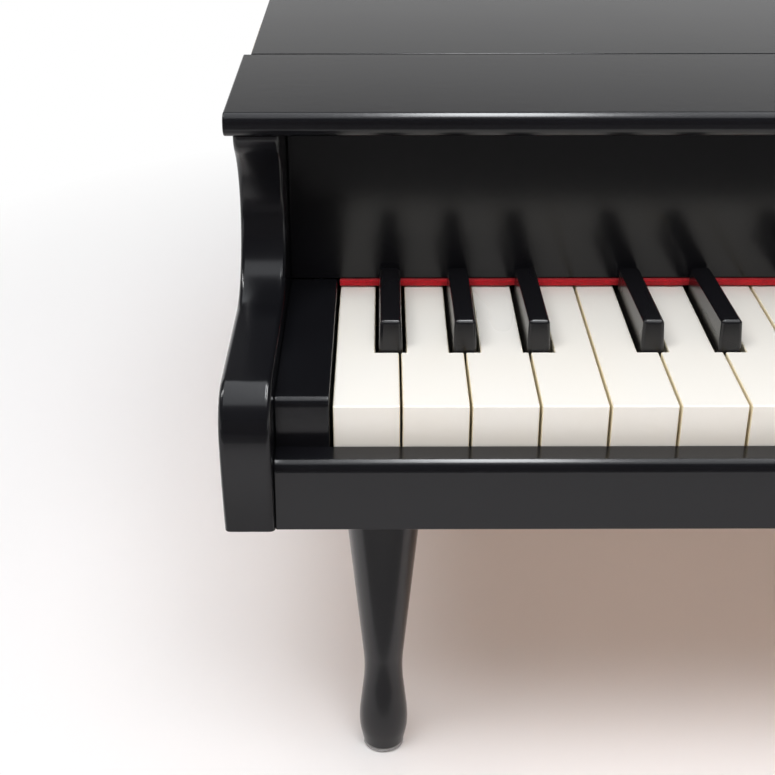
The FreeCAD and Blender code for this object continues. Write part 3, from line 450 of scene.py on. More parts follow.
def from_node(node: str) -> Mesh:
    """A copy of a solid's surface with its flat faces whole again.

    Args:
        node: Name of the solid.

    Returns:
        The mesh, ready for more work.
    """
    bm = bmesh.new()
    bm.from_mesh(frame["nodes"][node].data)
    bmesh.ops.remove_doubles(bm, verts=bm.verts[:], dist=WELD)
    bmesh.ops.dissolve_limit(bm, angle_limit=math.radians(FLAT_ANGLE), verts=bm.verts[:], edges=bm.edges[:])
    return bm


def block(bm: Mesh, low: Sequence[float], high: Sequence[float]) -> None:
    """Add a box between two corners.

    Args:
        bm: Mesh that the box is added to.
        low: Lowest corner.
        high: Highest corner.
    """
    for vert in bmesh.ops.create_cube(bm, size=1.0)["verts"]:
        vert.co = Vector(a + (b - a) * (c + 0.5) for a, b, c in zip(low, high, vert.co))


def between(bm: Mesh, low: Sequence[bmesh.types.BMVert], high: Sequence[bmesh.types.BMVert]) -> None:
    """Close a form between two like rings of points.

    Args:
        bm: Mesh that the faces are added to.
        low: Points of the first ring.
        high: Points of the second ring, in the same order.
    """
    bm.faces.new(list(reversed(low)))
    bm.faces.new(high)
    for i in range(len(low)):
        bm.faces.new((low[i - 1], low[i], high[i], high[i - 1]))


def lathe(bm: Mesh, profile: Sequence[Point], start: Vector, axis: Vector, sides: int = 48,
          hollow: bool = False) -> None:
    """Turn a profile round an axis.

    Args:
        bm: Mesh that the turned form is added to.
        profile: Pairs of radius and run along the axis.
        start: Point where the run is nought.
        axis: Direction of the run.
        sides: Faces round the form.
        hollow: True where the profile is a loop; otherwise both ends are closed.
    """
    across = axis.orthogonal().normalized()
    other = axis.cross(across)
    turns = [2 * math.pi * i / sides for i in range(sides)]
    spokes = [across * math.cos(turn) + other * math.sin(turn) for turn in turns]
    rings = [[bm.verts.new(start + axis * run + spoke * radius) for spoke in spokes]
             for radius, run in profile]
    for a, b in zip(rings, rings[1:] + rings[:1] if hollow else rings[1:]):
        for i in range(sides):
            bm.faces.new((a[i - 1], a[i], b[i], b[i - 1]))
    if not hollow:
        bm.faces.new(list(reversed(rings[0])))
        bm.faces.new(rings[-1])


def pipe(bm: Mesh, start: Vector, axis: Vector, length: float, outer: float, inner: float,
         sides: int = 28, broken: float = 0.25) -> None:
    """A hollow tube with slightly broken ends.

    Args:
        bm: Mesh that the tube is added to.
        start: Middle of the first end.
        axis: Direction of the tube.
        length: Length of the tube.
        outer: Outer radius.
        inner: Radius of the bore.
        sides: Faces round the tube.
        broken: Share of the wall that is taken off at its edges.
    """
    ease = (outer - inner) * broken
    loop = [(outer - ease, 0.0), (outer, ease), (outer, length - ease), (outer - ease, length),
            (inner + ease, length), (inner, length - ease), (inner, ease), (inner + ease, 0.0)]
    lathe(bm, loop, start, axis, sides, hollow=True)


def cross(bm: Mesh, middle: Vector, axis: Vector, reach: float, depth: float, slim: float = 0.22) -> None:
    """A closed cross that cuts the recess of a screw head.

    Args:
        bm: Mesh that the cross is added to.
        middle: Middle of the head's top.
        axis: Direction that the head faces.
        reach: Length of each arm of the cross.
        depth: Depth of the recess.
        slim: Half width of an arm as a share of its length.
    """
    across = axis.orthogonal().normalized()
    other = axis.cross(across)
    wide = reach * slim
    corners = []
    for a, b in ((1, 0), (0, 1), (-1, 0), (0, -1)):
        tip = (across * a + other * b) * reach
        side = (other * a - across * b) * wide
        corners += [tip - side, tip + side, (across * (a - b) + other * (a + b)) * wide]
    low, high = ([bm.verts.new(middle + c + axis * d) for c in corners] for d in (-depth, depth))
    between(bm, low, high)


def round_edges(bm: Mesh, edging: Edging, wanted: Optional[EdgeTest] = None) -> None:
    """Round the sharp outward edges.

    Args:
        bm: Mesh to work on.
        edging: How they are rounded.
        wanted: Test that picks the edges; all sharp ones without it.
    """
    least = math.radians(edging.least)
    chosen = []
    for edge in bm.edges:
        if len(edge.link_faces) == 2 and edge.is_convex and edge.calc_face_angle(0.0) > least:
            if wanted is None or wanted(edge):
                chosen.append(edge)
    bmesh.ops.bevel(bm, geom=chosen, offset=edging.radius, offset_type="OFFSET", segments=edging.steps,
                    profile=0.5, affect="EDGES", clamp_overlap=True)


def in_scene(name: str, data: bpy.types.ID) -> Piece:
    """A new object in the scene.

    Args:
        name: Name of the object.
        data: Mesh, lamp or camera that it holds.

    Returns:
        The object.
    """
    made = bpy.data.objects.new(name, data)
    bpy.context.scene.collection.objects.link(made)
    return made


def in_mesh(name: str, bm: Mesh) -> Piece:
    """A new object in the scene from a mesh in work.

    Args:
        name: Name of the object.
        bm: The mesh, which is used up.

    Returns:
        The object.
    """
    mesh = bpy.data.meshes.new(name)
    bm.to_mesh(mesh)
    bm.free()
    return in_scene(name, mesh)


def even_shading(piece: Piece) -> None:
    """Let the large faces lead the shading, so long boards shade straight up to their rounded ends."""
    piece.modifiers.new("even shading", "WEIGHTED_NORMAL").keep_sharp = True


def add(name: str, bm: Mesh, finishes: Sequence[Finish], node: str = "", body: str = Body.CASE.value,
        angle: float = 35.0) -> Piece:
    """Turn a mesh into a dressed piece that rides on its body.

    Args:
        name: Name of the piece.
        bm: Its mesh, which is used up.
        finishes: Its finishes, the main one first.
        node: Solid that it replaces, if any.
        body: Body that it rides on.
        angle: Edges sharper than this stay sharp in the shading.

    Returns:
        The piece.
    """
    bmesh.ops.dissolve_degenerate(bm, edges=bm.edges[:], dist=WELD / 2)
    bmesh.ops.recalc_face_normals(bm, faces=bm.faces[:])
    for face in bm.faces:
        face.smooth = True
    piece = in_mesh(name, bm)
    piece.data.set_sharp_from_angle(angle=math.radians(angle))
    for finish in finishes:
        piece.data.materials.append(finish.material())
    even_shading(piece)
    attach(piece, body)
    if node:
        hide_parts(node)
    log.info("%s rides on %s with %d faces", name, body, len(piece.data.polygons))
    return piece


def softened(node: str, ending: str, finish: Finish, edging: Edging, body: str = Body.CASE.value,
             angle: float = 35.0) -> Piece:
    """A piece that is its solid with softer edges.

    Args:
        node: Solid that it stands for.
        ending: End of the piece's name.
        finish: Its finish.
        edging: How its edges are rounded.
        body: Body that it rides on.
        angle: Edges sharper than this stay sharp in the shading.

    Returns:
        The piece.
    """
    bm = from_node(node)
    round_edges(bm, edging)
    return add(f"{node}_{ending}", bm, [finish], node, body, angle)


def cut(piece: Piece, cutters: Mesh) -> None:
    """Take material away from a finished piece.

    Args:
        piece: Piece that is cut.
        cutters: Closed forms to take away, which are used up.
    """
    bmesh.ops.recalc_face_normals(cutters, faces=cutters.faces[:])
    tool = in_mesh("cutter", cutters)
    piece.modifiers.clear()
    away = piece.modifiers.new("cut", "BOOLEAN")
    away.object = tool
    away.solver = "EXACT"
    bpy.context.view_layer.update()
    piece.data = bpy.data.meshes.new_from_object(piece.evaluated_get(bpy.context.evaluated_depsgraph_get()))
    piece.modifiers.clear()
    bpy.data.objects.remove(tool)
    even_shading(piece)


def dress(node: str, finish: Finish) -> None:
    """Give a solid that stays its finish.

    Args:
        node: Name of the solid.
        finish: Its finish.
    """
    piece = frame["nodes"][node]
    piece.data.materials.clear()
    piece.data.materials.append(finish.material())
    log.info("%s keeps its solid", node)


def screws(name: str, profile: Sequence[Point], seats: Sequence[Vector], axis: Vector, finish: Finish,
           body: str = Body.CASE.value, recess: Point = (0.55, 0.6)) -> None:
    """Turned screw heads with a cross cut into each.

    Args:
        name: Name of the piece.
        profile: Pairs of radius and height of a head, from its seat to its top.
        seats: Middle of each head's seat.
        axis: Direction that the heads face.
        finish: Their finish.
        body: Body that they ride on.
        recess: Reach and depth of the cross as shares of a head's radius and height.
    """
    heads = bmesh.new()
    crosses = bmesh.new()
    radius, top = profile[0][0], profile[-1][1]
    for seat in seats:
        lathe(heads, profile, seat, axis, SCREW_SIDES)
        cross(crosses, seat + axis * top, axis, radius * recess[0], top * recess[1])
    cut(add(name, heads, [finish], body=body), crosses)


def domed(radius: float, rise: float) -> list[Point]:
    """Profile of a round screw head of that radius and height."""
    steps = ((1.0, 0.0), (0.97, 0.35), (0.8, 0.75), (0.5, 0.96), (0.2, 1.0))
    return [(radius * r, rise * h) for r, h in steps]


def turn_points(centre: Point, radius: float, start: float, end: float, steps: int) -> list[Point]:
    """Points along an arc in the side view.

    Args:
        centre: Middle of the arc.
        radius: Its radius.
        start: First angle in degrees.
        end: Last angle in degrees.
        steps: Number of steps.

    Returns:
        The points, both ends among them.
    """
    turns = [math.radians(start + (end - start) * i / steps) for i in range(steps + 1)]
    return [(centre[0] + radius * math.cos(turn), centre[1] + radius * math.sin(turn)) for turn in turns]


def eased(profile: Sequence[Point], reach: float, steps: int = 6, most: float = 0.48) -> list[Point]:
    """A profile with its inner corners turned into short curves.

    Args:
        profile: Corners of the profile.
        reach: How far from a corner its curve begins.
        steps: Steps of each curve.
        most: Share of a straight run that a curve may take.

    Returns:
        The eased profile.
    """
    made = [profile[0]]
    for before, corner, after in zip(profile, profile[1:], profile[2:]):
        a, b, c = Vector(before), Vector(corner), Vector(after)
        start, end = (b + (p - b).normalized() * min(reach, (p - b).length * most) for p in (a, c))
        for i in range(steps + 1):
            t = i / steps
            made.append(tuple(start * (1 - t) ** 2 + b * (2 * t * (1 - t)) + end * t ** 2))
    return made + [profile[-1]]


def leaf_spans(node: str) -> list[Point]:
    """Where the two hinges lie along the spine.

    Args:
        node: Solid with the leaves of both.

    Returns:
        First and last y of each hinge.
    """
    places = sorted(v.co.y for v in frame["nodes"][node].data.vertices)
    middle = (places[0] + places[-1]) / 2
    groups = [[y for y in places if y < middle], [y for y in places if y > middle]]
    return [(group[0], group[-1]) for group in groups]


def pivot_of(joint: str) -> Vector:
    """Place of a joint."""
    return Vector(next(j["pos_m"] for j in frame["joints"] if j["name"] == joint))


def floor_point(node: str) -> Vector:
    """Point on the floor under the middle of a solid."""
    low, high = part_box(node)
    return Vector(((low.x + high.x) / 2, (low.y + high.y) / 2, 0.0))


def upper_front(node: str) -> EdgeTest:
    """A test for the edges at the top of a solid's front."""
    low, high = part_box(node)
    return lambda edge: all(v.co.y < low.y + TOUCH and v.co.z > high.z - TOUCH for v in edge.verts)


# Sub-assemblies

@dataclass
class CaseWork:
    """Sides with their arms, bent rim, boards, key slip and key blocks."""

    arm_top: float = 0.1495
    arm_radius: float = 0.0129
    arm_tuck: float = 0.0026
    cove: Point = (-0.1659, 0.1735)
    cove_radius: float = 0.024
    cove_sweep: float = 50.0
    arc_steps: tuple[int, ...] = (10, 18, 26, 10)
    arm_edge: Edging = Edging(0.0016, 5)
    slip_edge: Edging = Edging(0.003, 12)
    block_edge: Edging = Edging(0.0024, 10)
    nose_edge: Edging = Edging(0.0031, 12)
    small_edge: Edging = Edging(0.0005, 3, 50.0)
    rim_edge: Edging = Edging(0.0005, 2, 60.0)
    hinge_bed_depth: float = 0.0009
    overcut: float = 0.004
    downward: float = 0.9

    def arm_outline(self, low: Vector, high: Vector) -> list[Point]:
        """Side view of a panel, from the foot of the arm to the top and back.

        Args:
            low: Lowest corner of the panel.
            high: Highest corner of the panel.

        Returns:
            The outline as (y, z) points.
        """
        front, foot_z, rear, top = low.y, low.z, high.y, high.z
        under, over, hollow, last = self.arc_steps
        bulge_z = self.arm_top - self.arm_radius
        drop = bulge_z - foot_z
        belly = (drop ** 2 + self.arm_tuck ** 2) / (2 * self.arm_tuck)
        lean = math.degrees(math.asin(drop / belly))
        outline = turn_points((front + belly, bulge_z), belly, 180 + lean, 180, under)
        outline += turn_points((front + self.arm_radius, bulge_z), self.arm_radius, 180, 90, over)[1:]
        outline += turn_points(self.cove, self.cove_radius, -90, self.cove_sweep, hollow)
        crown_y, crown_z = outline[-1]
        sweep = math.radians(self.cove_sweep)
        crown = (top - crown_z) / math.sin(sweep)
        nose_y = crown_y - crown * (1 - math.cos(sweep))
        outline += turn_points((nose_y + crown, top), crown, 180 + self.cove_sweep, 180, last)[1:]
        return outline + [(rear, top), (rear, foot_z)]

    def side(self, node: str) -> Piece:
        """One side panel with its arm and softly rounded long edges.

        Args:
            node: Solid of the panel.

        Returns:
            The panel.
        """
        low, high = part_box(node)
        outline = self.arm_outline(low, high)
        bm = bmesh.new()
        near, far = ([bm.verts.new((x, y, z)) for y, z in outline] for x in (low.x, high.x))
        between(bm, near, far)
        bmesh.ops.recalc_face_normals(bm, faces=bm.faces[:])
        last = self.cove[0] + self.cove_radius

        def along_arm(edge: Edge) -> bool:
            """Edges of the arm, the hollow and the crown."""
            a, b = (v.co for v in edge.verts)
            return abs(a.x - b.x) < TOUCH and max(a.y, b.y) < last and max(a.z, b.z) > low.z + TOUCH

        round_edges(bm, self.arm_edge, along_arm)
        return add(node + "_panel", bm, [GLOSS], node)

    def cut_hinge_beds(self, panel: Piece) -> None:
        """Let the two hinge leaves into the top of the spine side.

        Args:
            panel: Panel of the spine side.
        """
        low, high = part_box("spine_side")
        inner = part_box("hinge_case_leaves")[1].x
        cutters = bmesh.new()
        for first, last in leaf_spans("hinge_case_leaves"):
            block(cutters, (low.x - self.overcut, first, high.z - self.hinge_bed_depth),
                  (inner, last, high.z + self.overcut))
        cut(panel, cutters)

    def board(self, node: str, ending: str, finish: Finish, edging: Optional[Edging] = None,
              wanted: Optional[EdgeTest] = None) -> None:
        """A straight board whose chosen edges are rounded far and the rest a little.

        Args:
            node: Solid that the board stands for.
            ending: End of the piece's name.
            finish: Its finish.
            edging: How the chosen edges are rounded.
            wanted: Test that picks them.
        """
        bm = bmesh.new()
        block(bm, *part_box(node))
        if edging:
            round_edges(bm, edging, wanted)
        round_edges(bm, self.small_edge)
        add(f"{node}_{ending}", bm, [finish], node)

    def top_board(self) -> None:
        """Fixed board over the fallboard, round at its nose."""
        low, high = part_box("front_top_board")

        def nose(edge: Edge) -> bool:
            """Both long front edges."""
            a, b = (v.co for v in edge.verts)
            return max(a.y, b.y) < low.y + TOUCH and abs(a.x - b.x) > (high.x - low.x) / 2

        self.board("front_top_board", "board", GLOSS, self.nose_edge, nose)

    def blocks(self) -> None:
        """Key blocks at both ends of the keyboard."""
        low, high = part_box("key_blocks")
        inner = min(abs(v.co.x) for v in frame["nodes"]["key_blocks"].data.vertices)
        bm = bmesh.new()
        for x0, x1 in ((low.x, -inner), (inner, high.x)):
            block(bm, (x0, low.y, low.z), (x1, high.y, high.z))
        round_edges(bm, self.block_edge, upper_front("key_blocks"))
        round_edges(bm, self.small_edge)
        add("key_block_pair", bm, [GLOSS], "key_blocks")

    def bottom(self) -> None:
        """Bottom board, sprayed thinly on its edges and inside and left bare underneath."""
        bm = from_node("bottom_board")
        bm.normal_update()
        for face in bm.faces:
            if face.normal.z < -self.downward:
                face.material_index = 1
        add("bottom_board_panel", bm, [THIN, BARE_BOARD], "bottom_board")

    def build(self) -> None:
        """Build and dress the case."""
        self.cut_hinge_beds(self.side("spine_side"))
        self.side("treble_side")
        self.board("key_slip", "board", GLOSS, self.slip_edge, upper_front("key_slip"))
        self.top_board()
        self.blocks()
        self.board("fallboard", "panel", SATIN)
        softened("bent_rim", "wall", GLOSS, self.rim_edge)
        self.bottom()


@dataclass
class Keyboard:
    """White and black keys, each with its hammer."""

    white_edge: Edging = Edging(0.00045, 3, 20.0)
    black_edge: Edging = Edging(0.0004, 3, 20.0)
    shown_to: float = -0.114
    underside: float = 0.0005
    lever_top: float = 0.13781
    hammer_from: float = -0.0195
    painted_light_sideways: float = 0.6
    angle: float = 30.0

    def key(self, node: str, white: bool) -> None:
        """One key with rounded edges where it shows, its hammer in another plastic, and a warmer cream on
        the sides of a white key that paints the light bouncing between the keys.

        Args:
            node: Solid of the key.
            white: True for a white key.
        """
        bm = from_node(node)
        floor = min(v.co.z for v in bm.verts) + self.underside

        def shown(edge: Edge) -> bool:
            """Edges ahead of the fallboard that aren't on the underside."""
            a, b = (v.co for v in edge.verts)
            return max(a.y, b.y) < self.shown_to and (a.z + b.z) / 2 > floor

        round_edges(bm, self.white_edge if white else self.black_edge, shown)
        bm.normal_update()
        for face in bm.faces:
            middle = face.calc_center_median()
            if middle.z > self.lever_top and middle.y > self.hammer_from:
                face.material_index = 1
            # Sides of a white key get the warmer cream: painted bounce light between the keys.
            elif white and abs(face.normal.x) > self.painted_light_sideways:
                face.material_index = 2
        finishes = [WHITE, HAMMER, PAINTED_GAP_LIGHT] if white else [BLACK, HAMMER]
        add(node + "_piece", bm, finishes, node, node + "_lever", self.angle)

    def build(self) -> None:
        """Build every key in order."""
        for node in sorted(n for n in frame["nodes"] if n.startswith("key_") and n[4].isdigit()):
            self.key(node, not node.endswith("_sharp"))


@dataclass
class Felts:
    """Red felt on the fallboard, felts of the action and pads under the legs."""

    edge: Edging = Edging(0.0006, 3, 40.0)
    step: float = 0.004
    fuzz: float = 0.00022
    fuzz_waves: float = 700.0
    strip_fill: float = 0.8
    strip_angle: float = 60.0
    pad_reach: float = 0.02
    pad_ease: float = 0.985
    pad_rings: tuple[float, ...] = (0.3, 0.7)
    pad_hub: float = 0.5
    pad_sides: int = 40
    pad_rim: tuple[Point, ...] = ((0.0007, 0.0), (0.0, 0.0006), (0.0, 0.0014), (0.0005, 0.002))
    pad_fuzz: float = 0.00012
    pad_waves: float = 900.0
    pad_fill: float = 0.9
    pad_angle: float = 50.0

    def strip(self, name: str, node: str, finish: Finish) -> None:
        """Soft strips in place of a node's solids: rounded, cut fine along their length, uneven inward.

        Args:
            name: Name of the piece.
            node: Node that it stands for.
            finish: Its felt.
        """
        bm = from_node(node)
        round_edges(bm, self.edge)
        low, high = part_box(node)
        count = int((high.x - low.x) / self.step)
        for i in range(1, count):
            x = low.x + (high.x - low.x) * i / count
            geometry = bm.verts[:] + bm.edges[:] + bm.faces[:]
            bmesh.ops.bisect_plane(bm, geom=geometry, plane_co=(x, 0, 0), plane_no=(1, 0, 0))
        bm.normal_update()
        for vert in bm.verts:
            vert.co -= vert.normal * self.fuzz * (0.5 + 0.5 * grit.noise(vert.co * self.fuzz_waves))
        piece = add(name, bm, [finish], node, angle=self.strip_angle)

    def pads(self) -> None:
        """Round felt pads under the three legs, uneven round their rims."""
        solid = from_node("foot_pads")
        bm = bmesh.new()
        thick = self.pad_rim[-1][1]
        for leg in LEGS:
            middle = floor_point(leg)
            reaches = [(v.co - middle).xy.length for v in solid.verts]
            radius = max(reach for reach in reaches if reach < self.pad_reach) * self.pad_ease
            outline = [(radius * share, 0.0) for share in self.pad_rings]
            outline += [(radius - inset, height) for inset, height in self.pad_rim]
            lathe(bm, outline + [(radius * self.pad_hub, thick)], middle, UP, self.pad_sides)
        solid.free()
        for vert in bm.verts:
            if TOUCH < vert.co.z < thick - TOUCH:
                vert.co.x += self.pad_fuzz * grit.noise(vert.co * self.pad_waves)
                vert.co.y += self.pad_fuzz * grit.noise(vert.co * self.pad_waves + Vector((5, 5, 5)))
        piece = add("leg_felts", bm, [GREY], "foot_pads", angle=self.pad_angle)

    def build(self) -> None:
        """Build the felts."""
        self.strip("red_felt_strip", "nameboard_felt", RED)
        self.strip("action_felt_strips", "action_felts", GREY)
        self.pads()


@dataclass
class LidWork:
    """Lid, its hinges, the prop with its bracket and seat, and the screws in them."""

    lid_edge: Edging = Edging(0.0006, 3, 28.0)
    seat_edge: Edging = Edging(0.0006, 3, 40.0)
    metal_edge: Edging = Edging(0.00015, 2, 50.0)
    metal_angle: float = 40.0
    prop_radius: float = 0.0026
    prop_sides: int = 28
    prop_tip: tuple[Point, ...] = ((1.0, 1.0), (0.92, 0.6), (0.72, 0.2), (0.45, 0.0))
    eye_radius: float = 0.004
    eye_width: float = 0.0052
    eye_bore: float = 0.00155
    eye_sides: int = 32
    eye_overlap: float = 0.8
    flange: float = 0.0009
    screw_radius: float = 0.0017
    screw_rise: float = 0.0005
    screws_along: Point = (-0.0052, 0.0022)
    screws_aside: Point = (-0.0068, 0.0068)
    leaf_inset: float = 0.0038
    leaf_screws: tuple[float, ...] = (0.17, 0.5, 0.83)
    sunk_radius: float = 0.0016
    sink_depth: float = 0.0003
    sink: tuple[Point, ...] = ((1.06, 0.0), (1.2, 2.0))
    flush: tuple[Point, ...] = ((1.0, 0.0), (1.0, 0.5), (0.96, 0.8))

    def hinges(self) -> None:
        """Both leaves of both hinges with broken edges and three sunk screws in each leaf."""
        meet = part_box("spine_side")[1].z
        radius, deep = self.sunk_radius, self.sink_depth
        sink, flush = ([(radius * r, deep * h) for r, h in shape] for shape in (self.sink, self.flush))
        sides = (("hinge_case_leaves", Body.CASE, UP), ("hinge_lid_leaves", Body.LID, DOWN))
        for node, body, axis in sides:
            leaves = softened(node, "brass", BRASS, self.metal_edge, body.value, self.metal_angle)
            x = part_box(node)[1].x - self.leaf_inset
            seats = [Vector((x, first + (last - first) * share, meet)) - axis * deep
                     for first, last in leaf_spans(node) for share in self.leaf_screws]
            sinks = bmesh.new()
            for seat in seats:
                lathe(sinks, sink, seat, axis, SCREW_SIDES)
            cut(leaves, sinks)
            screws(node + "_screws", flush, seats, axis, BRASS, body.value)

    def prop(self) -> None:
        """Round stick with a blunt point, and the flat eye that turns on the bracket's pin."""
        pivot = pivot_of("prop_swing")
        length = pivot.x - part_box("lid_prop")[0].x
        radius = self.prop_radius
        tip = [(radius * share, length - radius * back) for share, back in self.prop_tip]
        bm = bmesh.new()
        foot = (radius, self.eye_radius * self.eye_overlap)
        lathe(bm, [foot, *tip], pivot, Vector((-1, 0, 0)), self.prop_sides)
        start = pivot - TAILWARD * (self.eye_width / 2)
        pipe(bm, start, TAILWARD, self.eye_width, self.eye_radius, self.eye_bore, self.eye_sides)
        add("lid_prop_stick", bm, [GLOSS], "lid_prop", Body.PROP.value)

    def bracket_screws(self) -> None:
        """Round-headed screws in the flanges of the prop's bracket."""
        pivot = pivot_of("prop_swing")
        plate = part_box("prop_bracket")[1].z - self.flange
        seats = [Vector((pivot.x + x, pivot.y + y, plate))
                 for x in self.screws_along for y in self.screws_aside]
        dome = domed(self.screw_radius, self.screw_rise)
        screws("bracket_screws", dome, seats, DOWN, BRASS, Body.LID.value)

    def build(self) -> None:
        """Build the lid and what it needs."""
        softened("lid", "panel", GLOSS, self.lid_edge, Body.LID.value)
        self.hinges()
        self.prop()
        softened("prop_bracket", "brass", BRASS, self.metal_edge, Body.LID.value, self.metal_angle)
        softened("prop_seat", "block", RAIL_WOOD, self.seat_edge)
        self.bracket_screws()


@dataclass
class Legs:
    """Turned legs with their threaded stubs, and the sockets in the board."""

    pad: Point = (0.0066, 0.002)
    foot: Point = (0.0082, 0.01)
    ankle: Point = (0.0058, 0.0315)
    head: Point = (0.013, 0.1075)
    head_corner: tuple[Point, ...] = ((0.0001, 0.0006), (0.0004, 0.0))
    ease: float = 0.006
    stub_radius: float = 0.0039
    thread_depth: float = 0.00035
    thread_steps: int = 12
    sides: int = 64

    def leg(self, node: str) -> None:
        """One leg, turned smooth.

        Args:
            node: Solid of the leg.
        """
        wide, top = self.head
        profile = eased([self.pad, self.foot, self.ankle, self.head], self.ease)
        profile[-1:] = [(wide - inset, top - drop) for inset, drop in self.head_corner]
        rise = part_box(node)[1].z - top
        for i in range(self.thread_steps + 1):
            wave = self.stub_radius - self.thread_depth * (i % 2)
            profile.append((wave, top + rise * i / self.thread_steps))
        bm = bmesh.new()
        lathe(bm, profile, floor_point(node), UP, self.sides)
        add(node + "_turned", bm, [GLOSS], node)

    def build(self) -> None:
        """Build the three legs and dress the sockets."""
        for node in LEGS:
            self.leg(node)
        dress("leg_sockets", STEEL)


@dataclass
class Action:
    """Rails, rod, guide blades and tone tubes."""

    wood_edge: Edging = Edging(0.0004, 2, 60.0)
    plastic_edge: Edging = Edging(0.0003, 2, 60.0)
    tube_radius: float = 0.003
    tube_wall: float = 0.0007
    longest: float = 0.222
    strike_y: float = 0.0131
    tube_z: float = 0.1653
    tube_angle: float = 50.0
    steps_per_half: int = 24
    screw_radius: float = 0.0016
    screw_rise: float = 0.0006
    foot_middle: float = 0.003

    def tubes(self) -> None:
        """Round hollow tubes, each a little shorter than the one before it."""
        centres = [j["pos_m"][0] for j in frame["joints"] if j["name"].endswith("_press")]
        bm = bmesh.new()
        for i, x in enumerate(sorted(centres)):
            length = self.longest * 2 ** (-i / self.steps_per_half)
            start = Vector((x, self.strike_y - length / 2, self.tube_z))
            pipe(bm, start, TAILWARD, length, self.tube_radius, self.tube_radius - self.tube_wall)
        add("tone_tube_set", bm, [TUBE], "tone_tubes", angle=self.tube_angle)

    def strip_screws(self) -> None:
        """A screw through each foot of the two strips over the tubes."""
        places = [v.co for v in frame["nodes"]["tube_strips"].data.vertices]
        top = max(p.z for p in places)
        upper = [p for p in places if p.z > top - TOUCH]
        seats = []
        for strip in ([p for p in upper if p.y < self.strike_y], [p for p in upper if p.y > self.strike_y]):
            for end, inward in ((min(p.x for p in strip), 1), (max(p.x for p in strip), -1)):
                ends = [p.y for p in strip if abs(p.x - end) < TOUCH]
                seats.append(Vector((end + inward * self.foot_middle, (min(ends) + max(ends)) / 2, top)))
        screws("strip_screws", domed(self.screw_radius, self.screw_rise), seats, UP, STEEL)

    def build(self) -> None:
        """Build the action."""
        self.tubes()
        softened("tube_rails", "piece", RAIL_WOOD, self.wood_edge)
        softened("tube_strips", "piece", PLASTIC, self.plastic_edge)
        self.strip_screws()
        for node, finish in (("key_rails", RAIL_WOOD), ("key_rod", STEEL), ("key_guide_rail", PLASTIC)):
            dress(node, finish)


# Studio

@dataclass(frozen=True)
class SoftLamp:
    """A flat soft lamp with an even glow."""

    name: str
    size: Point
    place: Place
    target: Place
    glow: float
    colour: Colour = (1.0, 1.0, 1.0)
    in_gloss: bool = True
    in_diffuse: bool = True

    def hang(self) -> None:
        """Hang the lamp; its power follows from its glow and its area."""
        light = bpy.data.lights.new(self.name, "AREA")
        light.shape = "RECTANGLE"
        light.size, light.size_y = self.size
        light.energy = self.glow * math.pi * self.size[0] * self.size[1]
        light.color = self.colour
        lamp = in_scene(self.name, light)
        lamp.location = self.place
        lamp.rotation_euler = (Vector(self.target) - Vector(self.place)).to_track_quat("-Z", "Y").to_euler()
        lamp.visible_glossy = self.in_gloss
        lamp.visible_diffuse = self.in_diffuse


